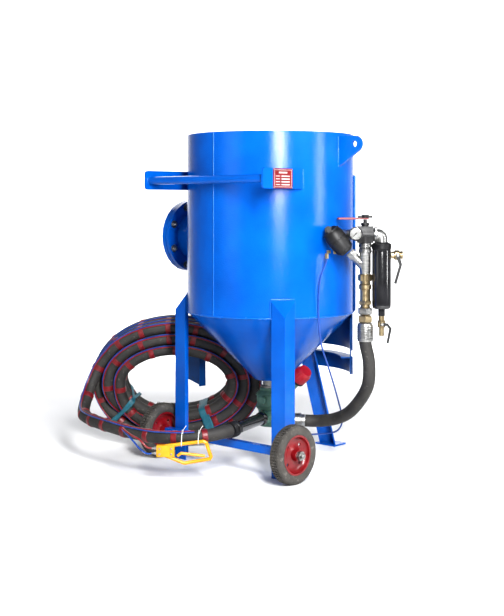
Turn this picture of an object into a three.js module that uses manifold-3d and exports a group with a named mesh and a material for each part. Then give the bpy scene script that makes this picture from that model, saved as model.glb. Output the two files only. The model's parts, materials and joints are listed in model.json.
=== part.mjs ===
// Mobile abrasive blasting pot on two wheels, with its air line, blast hose and remote handle.
// Units are millimetres and +Z is up. The wheels' axle lies along X and the pull handle points to -Y.
// Every angle called an azimuth is measured in degrees from +X towards +Y about the tank's axis.
// The service frame is the machine's frame turned about the tank's axis by SERVICE_TURN: the air line
// is built in it, with its run along +X, and the hoses are routed in it.

import * as THREE from 'three';
import { mergeVertices } from 'three/addons/utils/BufferGeometryUtils.js';
import Module from 'manifold-3d';

const wasm = await Module();
wasm.setup();

// ---------------------------------------------------------------- driving dimensions

const GAP = 0.3;                       // clearance between pieces that touch or are welded
const SERVICE_TURN = 42;

const TANK_R = 400;
const TANK_WALL = 8;
const RIM_Z = 1555;
const SEAM_Z = 711;
const CONE_FOOT = { r: 78, z: 385 };
const HEAD = { edgeZ: 1440, portZ: 1352, portR: 52, wall: 8 };
const OUTLET_BORE_R = 28;
const COLLAR = { r: 46, waistR: 38, bottomZ: 344 };

const HANDHOLE = { z: 1063, neckR: 122, boreR: 114, faceX: -522, flangeR: 183, flange: 20, cover: 22 };
const GASKET_THICK = 3;

const LUG = { azimuth: 4.5, holeR: 14, holeAt: 487, holeZ: 1500, endR: 38, weldFootZ: 1396, thick: 16 };
const ARM = { rootX: 354, rootY: -186, tipX: 375, tipY: -471, height: 90, thick: 10, z: 1338, corner: 16 };
const HANDLE_TUBE = { r: 19, y: -442, z: 1336 };
const NAME_PLATE = { fromY: -400, toY: -262, height: 88, thick: 2.5 };
const DOUBLER = { from: 35, to: 145, bottomZ: 716, topZ: 1360, thick: 9 };

const ANGLE_IRON = { flange: 75, thick: 7 };
const LEG = { azimuths: { right: -40, left: -140 }, ridgeR: 460, ridgeTopZ: 717, weldTopZ: 796, cap: 7 };
const REAR_LEG = { footY: 492, lean: 18.3, length: 620 };
const REAR_FOOT = { x: 126, y: 92, thick: 8 };

const WHEEL = { x: 421, y: -320, r: 130, width: 64, rimR: 88, hubR: 25, hubLength: 70, boreR: 12.6 };
const AXLE = { beam: 34, beamHalf: 382, stubR: 12, halfLength: 482 };
const AXLE_NUT = { flatR: 19, thick: 15 };

const SKIRT = { r: 396, thick: 7, from: 40, to: 132, bottomZ: 520, topZ: 706 };
const RING = { r: 396, flange: 56, web: 84, thick: 6, topZ: 490, from: 40, to: 140 };
const POST = { width: 26, thick: 6, azimuths: [42, 130] };

const HANGER = { azimuth: 175, rootR: 400, innerR: 514, outerR: 650, thick: 8, strip: 40 };

const OUTLET_TURN = 16;                // the outlet pipe's turn from the Y axis
const OUTLET = { z: 207, pipeR: 27, fromR: 92, couplingR: 360, endR: 412 };
const INLET = { z: 182, fromR: 92, couplingR: 110, endR: 165 };
const VALVE = { r: 66, bottomZ: 160, portR: 32, portEndR: 91 };
const ACTUATOR = { x: 30, z: 281, tilt: 40, neckR: 27, neckLength: 192, capR: 40, capLength: 62 };

const RUN = { y: -285, z: 1085 };      // the air line's main run, in the service frame
const DROP_X = 433;                    // the pipe that drops from the run to the pusher line's hose
const SEPARATOR = { x: 508, r: 43.5, topZ: 1051, headZ: 1020, bottomZ: 745 };
const GAUGE = { x: 384, z: 1091, r: 30, faceY: -374, thick: 26 };
const MAIN_LEVER = { z: 1159, reach: 125, width: 22, thick: 5 };

const AIR_HOSE_R = 29;
const CONTROL_TUBE_R = 4;
const BLAST_HOSE_R = 29;
const COIL = { x: -473, y: 292, z: 336, halfX: 343, halfZ: 235, bundle: 88, lean: 10 };

const DEADMAN_Y = -483;                // the plane of the remote handle, in the service frame
const DEADMAN_ROD_R = 8;
const DEADMAN_LEVER_R = 6.5;

// Hose routes in the service frame, as centre points from the exit to the far end.
const AIR_HOSE_ROUTE = [
  [433, -285, 597], [437, -285, 570], [450, -281, 511], [452, -270, 427], [440, -250, 369],
  [407, -200, 301], [365, -135, 242], [310, -65, 203], [250, -18, 185], [205, -2, 181], [167, 0, 182],
];
const CONTROL_TUBE_ROUTE = [
  [254, -362, 976], [248, -362, 955], [236, -360, 925], [223, -356, 880], [217, -355, 800],
  [217, -352, 730], [222, -338, 640], [238, -306, 560], [268, -255, 470], [296, -180, 380],
  [322, -100, 290], [340, -30, 220], [345, 30, 160], [322, 76, 116], [272, 98, 100],
  [212, 90, 98], [152, 62, 98], [100, 34, 104], [60, 14, 118], [38, 4, 150],
];
const BLAST_HOSE_ROUTE = [
  [-183, -373, 207], [-207, -398, 205], [-256, -424, 198], [-313, -440, 193], [-380, -440, 188],
  [-447, -430, 187], [-517, -400, 185], [-588, -360, 188], [-662, -310, 194], [-724, -260, 201],
  [-790, -190, 205], [-848, -105, 206], [-890, -20, 209], [-909, 55, 220], [-912, 115, 245],
  [-904, 166, 288], [-890, 200, 338],
];

// ---------------------------------------------------------------- shapes and solids

const radians = THREE.MathUtils.degToRad;

// A closed solid from a three.js geometry, with its faces pointing out.
function solid(geometry) {
  const bare = geometry.clone();
  bare.deleteAttribute('normal');
  bare.deleteAttribute('uv');
  const merged = mergeVertices(bare, 1e-3);
  const position = merged.attributes.position.array;
  const corners = Array.from(merged.index.array);
  const kept = [];
  let volume = 0;
  const point = (i) => new THREE.Vector3(position[3 * i], position[3 * i + 1], position[3 * i + 2]);
  for (let i = 0; i < corners.length; i += 3) {
    const [a, b, c] = corners.slice(i, i + 3);
    if (a === b || b === c || a === c) continue;
    kept.push(a, b, c);
    volume += point(a).dot(point(b).cross(point(c)));
  }
  if (volume < 0) kept.reverse();
  const mesh = new wasm.Mesh({
    numProp: 3,
    vertProperties: Float32Array.from(position),
    triVerts: Uint32Array.from(kept),
  });
  return new wasm.Manifold(mesh);
}

const join = (...solids) => solids.reduce((whole, next) => whole.add(next));
const cut = (whole, ...tools) => tools.reduce((left, tool) => left.subtract(tool), whole);

function geometryOf(shape) {
  const mesh = shape.getMesh();
  const geometry = new THREE.BufferGeometry();
  geometry.setAttribute('position', new THREE.BufferAttribute(Float32Array.from(mesh.vertProperties), 3));
  geometry.setIndex(Array.from(mesh.triVerts));
  geometry.computeVertexNormals();
  return geometry;
}

// A body turned about Z from [radius, z] points. A tube's profile closes on itself.
function turned(profile, segments = 20) {
  const points = profile.map(([r, z]) => new THREE.Vector2(r, z));
  return new THREE.LatheGeometry(points, segments).rotateX(Math.PI / 2);
}

const tubeProfile = (inner, outer, low, high) => [
  [inner, low], [outer, low], [outer, high], [inner, high], [inner, low],
];

const rodProfile = (radius, low, high) => [[0, low], [radius, low], [radius, high], [0, high]];

function block(x, y, z, centre = [0, 0, 0]) {
  return new THREE.BoxGeometry(x, y, z).translate(...centre);
}

// A flat outline in XY, made solid from z = 0 up to the given thickness.
function slab(shape, thickness, curveSegments = 8) {
  return new THREE.ExtrudeGeometry(shape, { depth: thickness, bevelEnabled: false, curveSegments });
}

const outline = (points) => new THREE.Shape(points.map(([x, y]) => new THREE.Vector2(x, y)));

// Points a body built along +Z in a direction, from an origin.
function aimed(geometry, direction, origin) {
  const turn = new THREE.Quaternion().setFromUnitVectors(
    new THREE.Vector3(0, 0, 1), new THREE.Vector3(...direction).normalize());
  return geometry.applyQuaternion(turn).translate(...origin);
}

function rodBetween(from, to, radius, sides = 16) {
  const start = new THREE.Vector3(...from);
  const along = new THREE.Vector3(...to).sub(start);
  return aimed(turned(rodProfile(radius, 0, along.length()), sides), along.toArray(), from);
}

// A round bar bent through the given points, with a ball at each corner.
function bentBar(points, radius, sides = 8) {
  const pieces = points.slice(1).map((to, i) => solid(rodBetween(points[i], to, radius, sides)));
  const balls = points.slice(1, -1).map(
    (at) => solid(new THREE.SphereGeometry(radius * 1.01, sides, 6).translate(...at)));
  return join(...pieces, ...balls);
}

// A round tube of constant thickness along a smooth route.
function hose(route, radius, sides, steps) {
  const path = new THREE.CatmullRomCurve3(route.map((at) => new THREE.Vector3(...at)), false, 'centripetal');
  const section = new THREE.Shape();
  for (let i = 0; i <= sides; i += 1) {
    const angle = 2 * Math.PI * i / sides;
    const [x, y] = [radius * Math.cos(angle), radius * Math.sin(angle)];
    if (i === 0) section.moveTo(x, y);
    else if (i < sides) section.lineTo(x, y);
  }
  return new THREE.ExtrudeGeometry(section, { steps, extrudePath: path, bevelEnabled: false });
}

// A curved plate between two radii and two azimuths.
function curvedPlate(inner, outer, from, to, low, high) {
  const shape = new THREE.Shape();
  shape.absarc(0, 0, outer, radians(from), radians(to), false);
  shape.absarc(0, 0, inner, radians(to), radians(from), true);
  return slab(shape, high - low, Math.ceil((to - from) / 6)).translate(0, 0, low);
}

const hexagon = (flatR, thick) => turned(rodProfile(flatR / Math.cos(Math.PI / 6), 0, thick), 6);

// ---------------------------------------------------------------- materials

function paint(color, roughness, metalness = 0) {
  return new THREE.MeshStandardMaterial({ color, roughness, metalness });
}

const BLUE = paint(0x0a6fd6, 0.3);
const DARK_BLUE = paint(0x0b4c94, 0.4);
const RED = paint(0xb0202a, 0.4);
const YELLOW = paint(0xf2d11c, 0.4);
const GREEN = paint(0x64907c, 0.5);
const CAP_RED = paint(0x8c1426, 0.5);
const STEEL = paint(0xc4c4c0, 0.35, 0.9);
const BRASS = paint(0xc09a4a, 0.3, 0.9);
const BLACK = paint(0x1a1a1c, 0.5);
const GLOSS_BLACK = paint(0x0c0c0e, 0.2);
const RUBBER = paint(0x4a4742, 0.9);
const TYRE = paint(0x6a655c, 0.95);
const TUBE_BLUE = paint(0x1c4fae, 0.4);

// ---------------------------------------------------------------- the assembly

const group = new THREE.Group();
const service = new THREE.Group();
service.rotation.z = radians(SERVICE_TURN);
group.add(service);

function part(name, shape, material, parent = group) {
  const geometry = geometryOf(shape instanceof THREE.BufferGeometry ? solid(shape) : shape);
  const mesh = new THREE.Mesh(geometry, material);
  mesh.name = name;
  parent.add(mesh);
  return mesh;
}

const SIDES = [['right', 1], ['left', -1]];
const TANK_SEGMENTS = 36;

// The outside of the tank, grown by the weld gap: it trims what is welded on.
function tankCutter() {
  return solid(turned([
    [0, CONE_FOOT.z - GAP], [CONE_FOOT.r + GAP, CONE_FOOT.z - GAP], [TANK_R + GAP, SEAM_Z - GAP],
    [TANK_R + GAP, RIM_Z], [0, RIM_Z],
  ], TANK_SEGMENTS));
}

// ---------------------------------------------------------------- tank

function tankShell() {
  const wall = solid(turned(
    tubeProfile(TANK_R - TANK_WALL, TANK_R, SEAM_Z + GAP, RIM_Z), TANK_SEGMENTS));
  const handhole = rodBetween([-TANK_R - 30, 0, HANDHOLE.z], [-TANK_R + 80, 0, HANDHOLE.z], HANDHOLE.boreR);
  const inlet = rodBetween([300, 21, RUN.z], [430, 30, RUN.z], 21 + GAP);
  part('tank_shell', cut(wall, solid(handhole), solid(inlet)), BLUE);
}

function tankCone() {
  const slant = TANK_WALL * Math.SQRT2;
  part('tank_cone', turned([
    [TANK_R, SEAM_Z], [CONE_FOOT.r, CONE_FOOT.z], [OUTLET_BORE_R, CONE_FOOT.z],
    [OUTLET_BORE_R, CONE_FOOT.z + 12], [CONE_FOOT.r - slant, CONE_FOOT.z + 12],
    [TANK_R - slant, SEAM_Z], [TANK_R, SEAM_Z],
  ], TANK_SEGMENTS), BLUE);
}

// The dished head that closes the pressure vessel and is the floor of the open hopper.
function topHead() {
  const steps = 4;
  const edgeR = TANK_R - TANK_WALL - GAP;
  const profile = [];
  for (let i = 0; i <= steps; i += 1) {
    const share = i / steps;
    const r = edgeR + (HEAD.portR - edgeR) * share;
    profile.push([r, HEAD.edgeZ + (HEAD.portZ - HEAD.edgeZ) * Math.sin(share * Math.PI / 2)]);
  }
  const under = profile.map(([r, z]) => [r, z - HEAD.wall]).reverse();
  part('top_head', turned([...profile, ...under, profile[0]], TANK_SEGMENTS), BLUE);
}

function popupValve() {
  const seatZ = HEAD.portZ - HEAD.wall - GAP;
  part('filler_seal_ring', turned(tubeProfile(44, 66, seatZ - 10, seatZ), 28), RUBBER);
  const lowZ = 1262;
  part('popup_valve', turned([
    [0, lowZ - 78], [9, lowZ - 78], [9, lowZ], [56, lowZ + 2], [56, lowZ + 8], [8, lowZ + 40], [0, lowZ + 42],
  ], 28), RUBBER);
  const post = solid(turned(rodProfile(21, RUN.z, 1246), 16));
  const arm = solid(rodBetween([0, 0, RUN.z], [TANK_R - 3, 28, RUN.z], 21));
  const bore = solid(turned(rodProfile(10.5, RUN.z + 60, 1260), 16));
  part('inner_air_pipe', cut(join(post, arm), bore), STEEL);
}

function outletCollar() {
  const top = CONE_FOOT.z - GAP;
  const { r, waistR, bottomZ } = COLLAR;
  part('outlet_collar', turned([
    [OUTLET_BORE_R, top], [r, top], [r, top - 9], [waistR, top - 11], [waistR, bottomZ + 11],
    [r, bottomZ + 9], [r, bottomZ], [OUTLET_BORE_R, bottomZ], [OUTLET_BORE_R, top],
  ], 28), STEEL);
}

function handhole() {
  const { z, neckR, boreR, faceX, flangeR, flange, cover } = HANDHOLE;
  const along = (profile, segments = 28) => aimed(turned(profile, segments), [-1, 0, 0], [0, 0, z]);
  const face = -faceX;
  const neck = solid(along(tubeProfile(boreR, neckR, TANK_R - 60, face + 2)));
  const collar = solid(along(tubeProfile(boreR, flangeR, face, face + flange)));
  part('handhole_nozzle', cut(join(neck, collar), tankCutter()), BLUE);
  const gasketFace = face + flange + GAP;
  const gasket = tubeProfile(boreR, flangeR - 28, gasketFace, gasketFace + GASKET_THICK);
  part('handhole_gasket', along(gasket), BLACK);
  const coverFace = gasketFace + GASKET_THICK + GAP;
  part('handhole_cover', along(rodProfile(flangeR, coverFace, coverFace + cover)), BLUE);
}

function liftingLugs() {
  const { holeAt, holeZ, endR, holeR, weldFootZ, thick } = LUG;
  const inner = TANK_R - 20;
  const toCentre = Math.atan2(holeZ - weldFootZ, holeAt - TANK_R);
  const span = Math.hypot(holeAt - TANK_R, holeZ - weldFootZ);
  const tangent = toCentre - Math.asin(endR / span) - Math.PI / 2;
  const shape = new THREE.Shape();
  shape.moveTo(inner, weldFootZ);
  shape.lineTo(inner, holeZ + endR);
  shape.lineTo(holeAt, holeZ + endR);
  shape.absarc(holeAt, holeZ, endR, Math.PI / 2, tangent, true);
  shape.lineTo(TANK_R, weldFootZ);
  const hole = new THREE.Path();
  hole.absarc(holeAt, holeZ, holeR, 0, 2 * Math.PI, false);
  shape.holes.push(hole);
  for (const [side, sign] of SIDES) {
    const plate = slab(shape, thick, 12).rotateX(Math.PI / 2).translate(0, thick / 2, 0);
    plate.rotateZ(radians(LUG.azimuth + (sign > 0 ? 0 : 180)));
    part(`lifting_lug_${side}`, cut(solid(plate), tankCutter()), BLUE);
  }
}

// ---------------------------------------------------------------- pull handle

const armLength = Math.hypot(ARM.tipX - ARM.rootX, ARM.tipY - ARM.rootY);
const armTurn = Math.atan2(ARM.tipY - ARM.rootY, ARM.tipX - ARM.rootX);

// One handle arm, a plate with rounded free corners. side is 1 or -1 and grow thickens it.
function armPlate(side, grow = 0) {
  const { height, corner, thick, rootX, rootY, z } = ARM;
  const half = height / 2;
  const shape = new THREE.Shape();
  shape.moveTo(-60, -half);
  shape.lineTo(armLength - corner, -half);
  shape.absarc(armLength - corner, corner - half, corner, -Math.PI / 2, 0, false);
  shape.absarc(armLength - corner, half - corner, corner, 0, Math.PI / 2, false);
  shape.lineTo(-60, half);
  const plate = slab(shape, thick + 2 * grow, 5).rotateX(Math.PI / 2);
  plate.translate(0, thick / 2 + grow, 0).rotateZ(armTurn).translate(rootX, rootY, z);
  return side > 0 ? solid(plate) : solid(plate.scale(-1, 1, 1));
}

function pullHandle() {
  for (const [side, sign] of SIDES) {
    part(`handle_arm_${side}`, cut(armPlate(sign), tankCutter()), BLUE);
  }
  const { r, y, z } = HANDLE_TUBE;
  const bar = solid(rodBetween([-ARM.tipX - 6, y, z], [ARM.tipX + 6, y, z], r, 24));
  const between = solid(block(2 * ARM.tipX - 8, 80, 80, [0, y, z]));
  part('handle_tube', cut(bar.intersect(between), armPlate(1, GAP), armPlate(-1, GAP)), BLUE);
  const { fromY, toY, height, thick } = NAME_PLATE;
  const along = (Y) => (ARM.rootY - Y) / (ARM.rootY - ARM.tipY) * armLength;
  const length = along(fromY) - along(toY);
  const plate = block(length, thick, height, [along(toY) + length / 2, ARM.thick / 2 + GAP + thick / 2, 0]);
  part('name_plate', plate.rotateZ(armTurn).translate(ARM.rootX, ARM.rootY, ARM.z), RED);
}

function rearDoubler() {
  const { from, to, bottomZ, topZ, thick } = DOUBLER;
  part('rear_doubler', curvedPlate(TANK_R + 1.2, TANK_R + 1.2 + thick, from, to, bottomZ, topZ), BLUE);
}

// ---------------------------------------------------------------- legs

// Rolled angle section with its ridge at the origin and pointing to +X.
function angleSection(grow = 0) {
  const { flange, thick } = ANGLE_IRON;
  const reach = (flange + grow) * Math.SQRT1_2;
  const step = (thick + 2 * grow) * Math.SQRT1_2;
  const ridge = grow * Math.SQRT2;
  return outline([
    [ridge, 0], [-reach, reach + ridge], [-reach - step, reach - step + ridge], [ridge - 2 * step, 0],
    [-reach - step, step - reach - ridge], [-reach, -reach - ridge],
  ]);
}

function legs() {
  const { ridgeR, ridgeTopZ, weldTopZ, cap, azimuths } = LEG;
  const reach = ANGLE_IRON.flange * Math.SQRT1_2;
  const rise = weldTopZ - ridgeTopZ;
  const run = ridgeR - TANK_R;
  const slope = Math.atan2(rise, run);
  for (const [side] of SIDES) {
    const angle = solid(slab(angleSection(), weldTopZ + 60).translate(ridgeR, 0, 0));
    const wedge = outline([
      [0, 0], [-reach, reach], [-reach - 30, reach], [-reach - 30, -reach], [-reach, -reach],
    ]);
    const filler = solid(slab(wedge, 300).translate(ridgeR, 0, ridgeTopZ - 200));
    const plane = (offset, depth) => solid(
      block(400, 300, depth, [0, 0, offset + depth / 2]).rotateY(slope).translate(ridgeR, 0, ridgeTopZ));
    const top = filler.intersect(plane(-cap, cap));
    const leg = cut(join(cut(angle, plane(0, 400)), top), tankCutter());
    part(`leg_${side}`, leg.rotate([0, 0, azimuths[side]]), BLUE);
  }
}

// The rear leg stands on a foot plate and leans in to the cone.
function rearLegBar(grow = 0) {
  const { footY, lean, length } = REAR_LEG;
  const bar = slab(angleSection(grow), length).rotateZ(Math.PI / 2);
  return solid(bar.rotateX(radians(lean)).translate(0, footY, 0));
}

function rearLeg() {
  const { x, y, thick } = REAR_FOOT;
  const floor = solid(block(400, 400, 200, [0, REAR_LEG.footY, -100]));
  const foot = solid(block(x, y, thick, [0, REAR_LEG.footY - 34, thick / 2]));
  part('rear_leg', cut(join(cut(rearLegBar(), floor), foot), tankCutter()), BLUE);
}

function rearSkirt() {
  const { r, thick, from, to, bottomZ, topZ } = SKIRT;
  const skirt = solid(curvedPlate(r - thick, r, from, to, bottomZ, topZ));
  part('rear_skirt', cut(skirt, tankCutter(), rearLegBar(GAP)), DARK_BLUE);
  const ring = RING;
  const arcOf = (inner, low) => solid(curvedPlate(inner, ring.r, ring.from, ring.to, low, ring.topZ));
  const shelf = arcOf(ring.r - ring.flange, ring.topZ - ring.thick);
  const web = arcOf(ring.r - ring.thick, ring.topZ - ring.web);
  const posts = POST.azimuths.map((azimuth) => {
    const height = SKIRT.topZ - 30 - (ring.topZ - ring.web);
    const bar = block(POST.thick, POST.width, height, [0, 0, height / 2]);
    bar.translate(r - thick - 1.2 - POST.thick / 2, 0, ring.topZ - ring.web).rotateZ(radians(azimuth));
    return solid(bar);
  });
  part('rear_ring', cut(join(shelf, web, ...posts), tankCutter(), rearLegBar(GAP)), DARK_BLUE);
}

// ---------------------------------------------------------------- axle and wheels

function wheels() {
  const { x, y, r, width, rimR, hubR, hubLength, boreR } = WHEEL;
  const beam = solid(block(2 * AXLE.beamHalf, AXLE.beam, AXLE.beam, [0, y, r]));
  const stub = solid(rodBetween([-AXLE.halfLength, y, r], [AXLE.halfLength, y, r], AXLE.stubR));
  part('axle_beam', join(beam, stub), BLUE);
  const half = width / 2;
  const outward = (sign) => [[sign, 0, 0], [sign * x, y, r]];
  for (const [side, sign] of SIDES) {
    const disc = turned([
      [boreR, -hubLength / 2], [hubR, -hubLength / 2], [hubR, -6], [rimR - 12, -6], [rimR - 8, -half + 6],
      [rimR, -half + 6], [rimR, half - 6], [rimR - 8, half - 6], [rimR - 12, 6], [hubR, 6],
      [hubR, hubLength / 2], [boreR, hubLength / 2], [boreR, -hubLength / 2],
    ], 24);
    part(`wheel_rim_${side}`, aimed(disc, ...outward(sign)), RED);
    const inner = rimR + GAP;
    const tread = turned([
      [inner, -half + 6], [inner + 12, -half + 1], [r - 14, -half], [r - 4, -half + 7], [r, -half + 16],
      [r, half - 16], [r - 4, half - 7], [r - 14, half], [inner + 12, half - 1], [inner, half - 6],
      [inner, -half + 6],
    ], 24);
    part(`tyre_${side}`, aimed(tread, ...outward(sign)), TYRE);
    const nutBore = solid(turned(rodProfile(AXLE.stubR + GAP, -1, 30)));
    const nut = cut(solid(hexagon(AXLE_NUT.flatR, AXLE_NUT.thick)), nutBore);
    const seat = x + hubLength / 2 + 1.5;
    const placed = aimed(geometryOf(nut), [sign, 0, 0], [sign * seat, y, r]);
    part(`axle_nut_${side}`, placed, STEEL);
  }
}

// ---------------------------------------------------------------- metering valve, inlet and outlet

const turnBy = (degrees, [x, y, z]) => {
  const at = new THREE.Vector3(x, y, z).applyAxisAngle(new THREE.Vector3(0, 0, 1), radians(degrees));
  return at.toArray();
};

function meteringValve() {
  const { r, bottomZ, portR, portEndR } = VALVE;
  const top = COLLAR.bottomZ - GAP;
  const barrel = solid(turned([
    [0, bottomZ], [r - 14, bottomZ], [r - 8, bottomZ + 8], [r - 8, 236], [r, 244], [r, 318],
    [r - 14, 332], [r - 14, top], [0, top],
  ], 22));
  const outletEnd = turnBy(OUTLET_TURN, [0, -portEndR, OUTLET.z]);
  const inletEnd = turnBy(SERVICE_TURN, [portEndR, 0, INLET.z]);
  const outletPort = solid(rodBetween([0, 0, OUTLET.z], outletEnd, portR, 16));
  const inletPort = solid(rodBetween([0, 0, INLET.z], inletEnd, portR - 10, 16));
  const axis = [Math.cos(radians(ACTUATOR.tilt)), 0, Math.sin(radians(ACTUATOR.tilt))];
  const start = [ACTUATOR.x, 0, ACTUATOR.z];
  const { neckR, neckLength, capR, capLength } = ACTUATOR;
  const neck = solid(aimed(turned([
    [0, 0], [neckR + 8, 0], [neckR + 8, 78], [neckR, 84], [neckR, neckLength - 20],
    [capR - 6, neckLength - 16], [capR - 6, neckLength], [0, neckLength],
  ], 18), axis, start));
  part('metering_valve', join(barrel, outletPort, inletPort, neck), GREEN);
  const low = neckLength + GAP;
  part('actuator_cap', aimed(turned([
    [0, low], [capR, low], [capR, low + 10], [capR - 2, low + capLength * 0.7],
    [capR - 10, low + capLength], [0, low + capLength],
  ], 20), axis, start), CAP_RED);
}

// The blast outlet runs to a coupling over the axle, and the air inlet faces the service side.
function valveLines() {
  const { z, pipeR, fromR, couplingR, endR } = OUTLET;
  const out = aimed(turned([
    [0, fromR], [32, fromR], [32, fromR + 16], [pipeR, fromR + 22], [pipeR, couplingR], [0, couplingR],
  ], 16), [0, -1, 0], [0, 0, z]).rotateZ(radians(OUTLET_TURN));
  part('outlet_pipe', out, GLOSS_BLACK);
  const claw = aimed(turned([
    [0, couplingR + GAP], [33, couplingR + GAP], [36, couplingR + 6], [36, couplingR + 20],
    [32, couplingR + 24], [32, endR - 4], [29, endR], [0, endR],
  ], 18), [0, -1, 0], [0, 0, z]).rotateZ(radians(OUTLET_TURN));
  part('hose_coupling', claw, BLACK);
  part('inlet_coupling', aimed(turned([
    [0, INLET.fromR], [26, INLET.fromR], [26, INLET.couplingR], [36, INLET.couplingR + 4],
    [36, INLET.endR - 18], [31, INLET.endR - 14], [31, INLET.endR], [0, INLET.endR],
  ], 18), [1, 0, 0], [0, 0, INLET.z]), STEEL, service);
}

// ---------------------------------------------------------------- air line, in the service frame

function airLine() {
  const add = (name, shape, material) => part(name, shape, material, service);
  const { y, z } = RUN;
  const radial = (azimuth, r) => [r * Math.cos(radians(azimuth)), r * Math.sin(radians(azimuth))];
  const [ax, ay] = radial(-38, TANK_R + 1);
  const [bx, by] = radial(-38, TANK_R + 30);
  const inletRoute = [[ax, ay, z], [bx, by, z], [356, -281, z], [372, y, z], [392, y, z]];
  add('inlet_nipple', cut(solid(hose(inletRoute, 24, 12, 10)), tankCutter()), STEEL);

  const valve = join(
    solid(block(72, 54, 76, [DROP_X, y, z + 1])),
    solid(rodBetween([392 + GAP, y, z], [474, y, z], 30, 20)),
    solid(rodBetween([DROP_X, y, 1045], [DROP_X, y, z], 29, 20)),
    solid(rodBetween([DROP_X, y, z], [DROP_X, y, 1140], 17, 16)),
    solid(rodBetween([DROP_X, y, 1130], [DROP_X, y, 1155.5], 9, 12)));
  add('main_valve', valve, BLACK);
  const { reach, width, thick } = MAIN_LEVER;
  const lever = new THREE.Shape();
  lever.absarc(0, 0, 17, -Math.PI / 3, Math.PI / 3, false);
  lever.lineTo(-24, width / 2);
  lever.lineTo(-reach + 8, width / 2);
  lever.absarc(-reach + 8, 0, width / 2, Math.PI / 2, Math.PI * 1.5, false);
  lever.lineTo(-24, -width / 2);
  add('main_lever', slab(lever, thick, 6).translate(DROP_X, y, MAIN_LEVER.z - thick / 2), RED);

  const { r, faceY, thick: deep } = GAUGE;
  const gaugeAt = [GAUGE.x, faceY + deep, GAUGE.z];
  const caseProfile = [
    [0, 0], [r - 3, 0], [r, 4], [r, deep], [r - 4, deep], [r - 4, deep - 4], [0, deep - 4],
  ];
  const dial = solid(aimed(turned(caseProfile, 22), [0, -1, 0], gaugeAt));
  const stem = solid(rodBetween([GAUGE.x, faceY + deep - 2, z + 2], [GAUGE.x, y - 31, z + 2], 9, 12));
  add('gauge_body', join(dial, stem), BLACK);
  const needle = outline([[-2, -7], [2, -7], [1, 21], [-1, 21]]);
  const pointer = slab(needle, 1.2).rotateX(Math.PI / 2).rotateY(radians(-135));
  add('gauge_needle', pointer.translate(GAUGE.x, faceY + 2.4, GAUGE.z), BLACK);

  const body = turned([[0, -70], [26, -68], [42, -52], [46, -20], [46, 26], [40, 50], [24, 66], [0, 70]], 16);
  const tiltAxis = [-0.62, 0, 0.78];
  const main = solid(aimed(body, tiltAxis, [303, -364, 1062]));
  const plug = solid(rodBetween([262, -386, 1108], [262, -402, 1108], 12, 12));
  const boss = solid(rodBetween([262, -340, 1108], [262, -388, 1108], 18, 14));
  const port = solid(rodBetween([306, -330, 1085], [306, -352, 1085], 20, 14));
  const nippleRoom = solid(hose(inletRoute, 25, 12, 10));
  add('control_valve', cut(join(main, plug, boss, port), nippleRoom, tankCutter()), BLACK);
  add('tube_fitting', rodBetween([254, -362, 979], [254, -362, 1003], 9, 6), BRASS);

  const ex = SEPARATOR.x;
  const elbowRoute = [
    [480, y, z], [490, y, z], [ex - 4, y, z - 4], [ex, y, z - 20], [ex, y, SEPARATOR.topZ + GAP],
  ];
  add('separator_elbow', join(
    solid(hose(elbowRoute, 27, 12, 8)),
    solid(rodBetween([475, y, z], [488, y, z], 34, 16))), STEEL);
  const separator = SEPARATOR;
  add('separator_head', turned([
    [0, separator.topZ], [30, separator.topZ], [separator.r + 1, separator.topZ - 8],
    [separator.r + 1, separator.headZ + GAP], [0, separator.headZ + GAP],
  ], 20).translate(ex, y, 0), BLACK);
  add('separator_bowl', turned([
    [0, separator.headZ], [separator.r, separator.headZ], [separator.r, separator.bottomZ + 12],
    [separator.r - 10, separator.bottomZ], [16, separator.bottomZ], [16, 714], [0, 714],
  ], 20).translate(ex, y, 0), GLOSS_BLACK);
  const supplyZ = 992;
  const supplyX = ex + separator.r + 1;
  const supplyProfile = [[0, 0], [17, 0], [17, 12], [23, 16], [23, 34], [17, 38], [19, 52], [0, 52]];
  add('supply_valve', join(
    solid(aimed(turned(supplyProfile, 12), [1, 0, 0], [supplyX, y, supplyZ])),
    solid(rodBetween([supplyX + 25, y, supplyZ], [supplyX + 25, y - 33, supplyZ], 8, 12))), BRASS);
  const facing = (points, thick) => slab(outline(points), thick).rotateX(Math.PI / 2);
  const supplyBar = [[-7, 8], [7, 8], [21, -42], [-5, -131], [-17, -127], [7, -44], [-7, -8]];
  add('supply_lever', facing(supplyBar, 4).translate(supplyX + 25, y - 33 - GAP, supplyZ), BLACK);
  const drainProfile = [
    [0, 622], [12, 622], [12, 658], [19, 664], [19, 690], [14, 694], [14, 713.5], [0, 713.5],
  ];
  add('drain_cock', join(
    solid(turned(drainProfile, 14).translate(ex, y, 0)),
    solid(rodBetween([ex, y, 677], [ex, y - 26, 677], 7, 10))), BRASS);
  const drainBar = [[-8, -7], [-8, 7], [26, 6], [44, -18], [30, -86], [19, -84], [31, -20], [20, -6]];
  add('drain_lever', facing(drainBar, 3.5).translate(ex, y - 26 - GAP, 677), BLACK);

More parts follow.
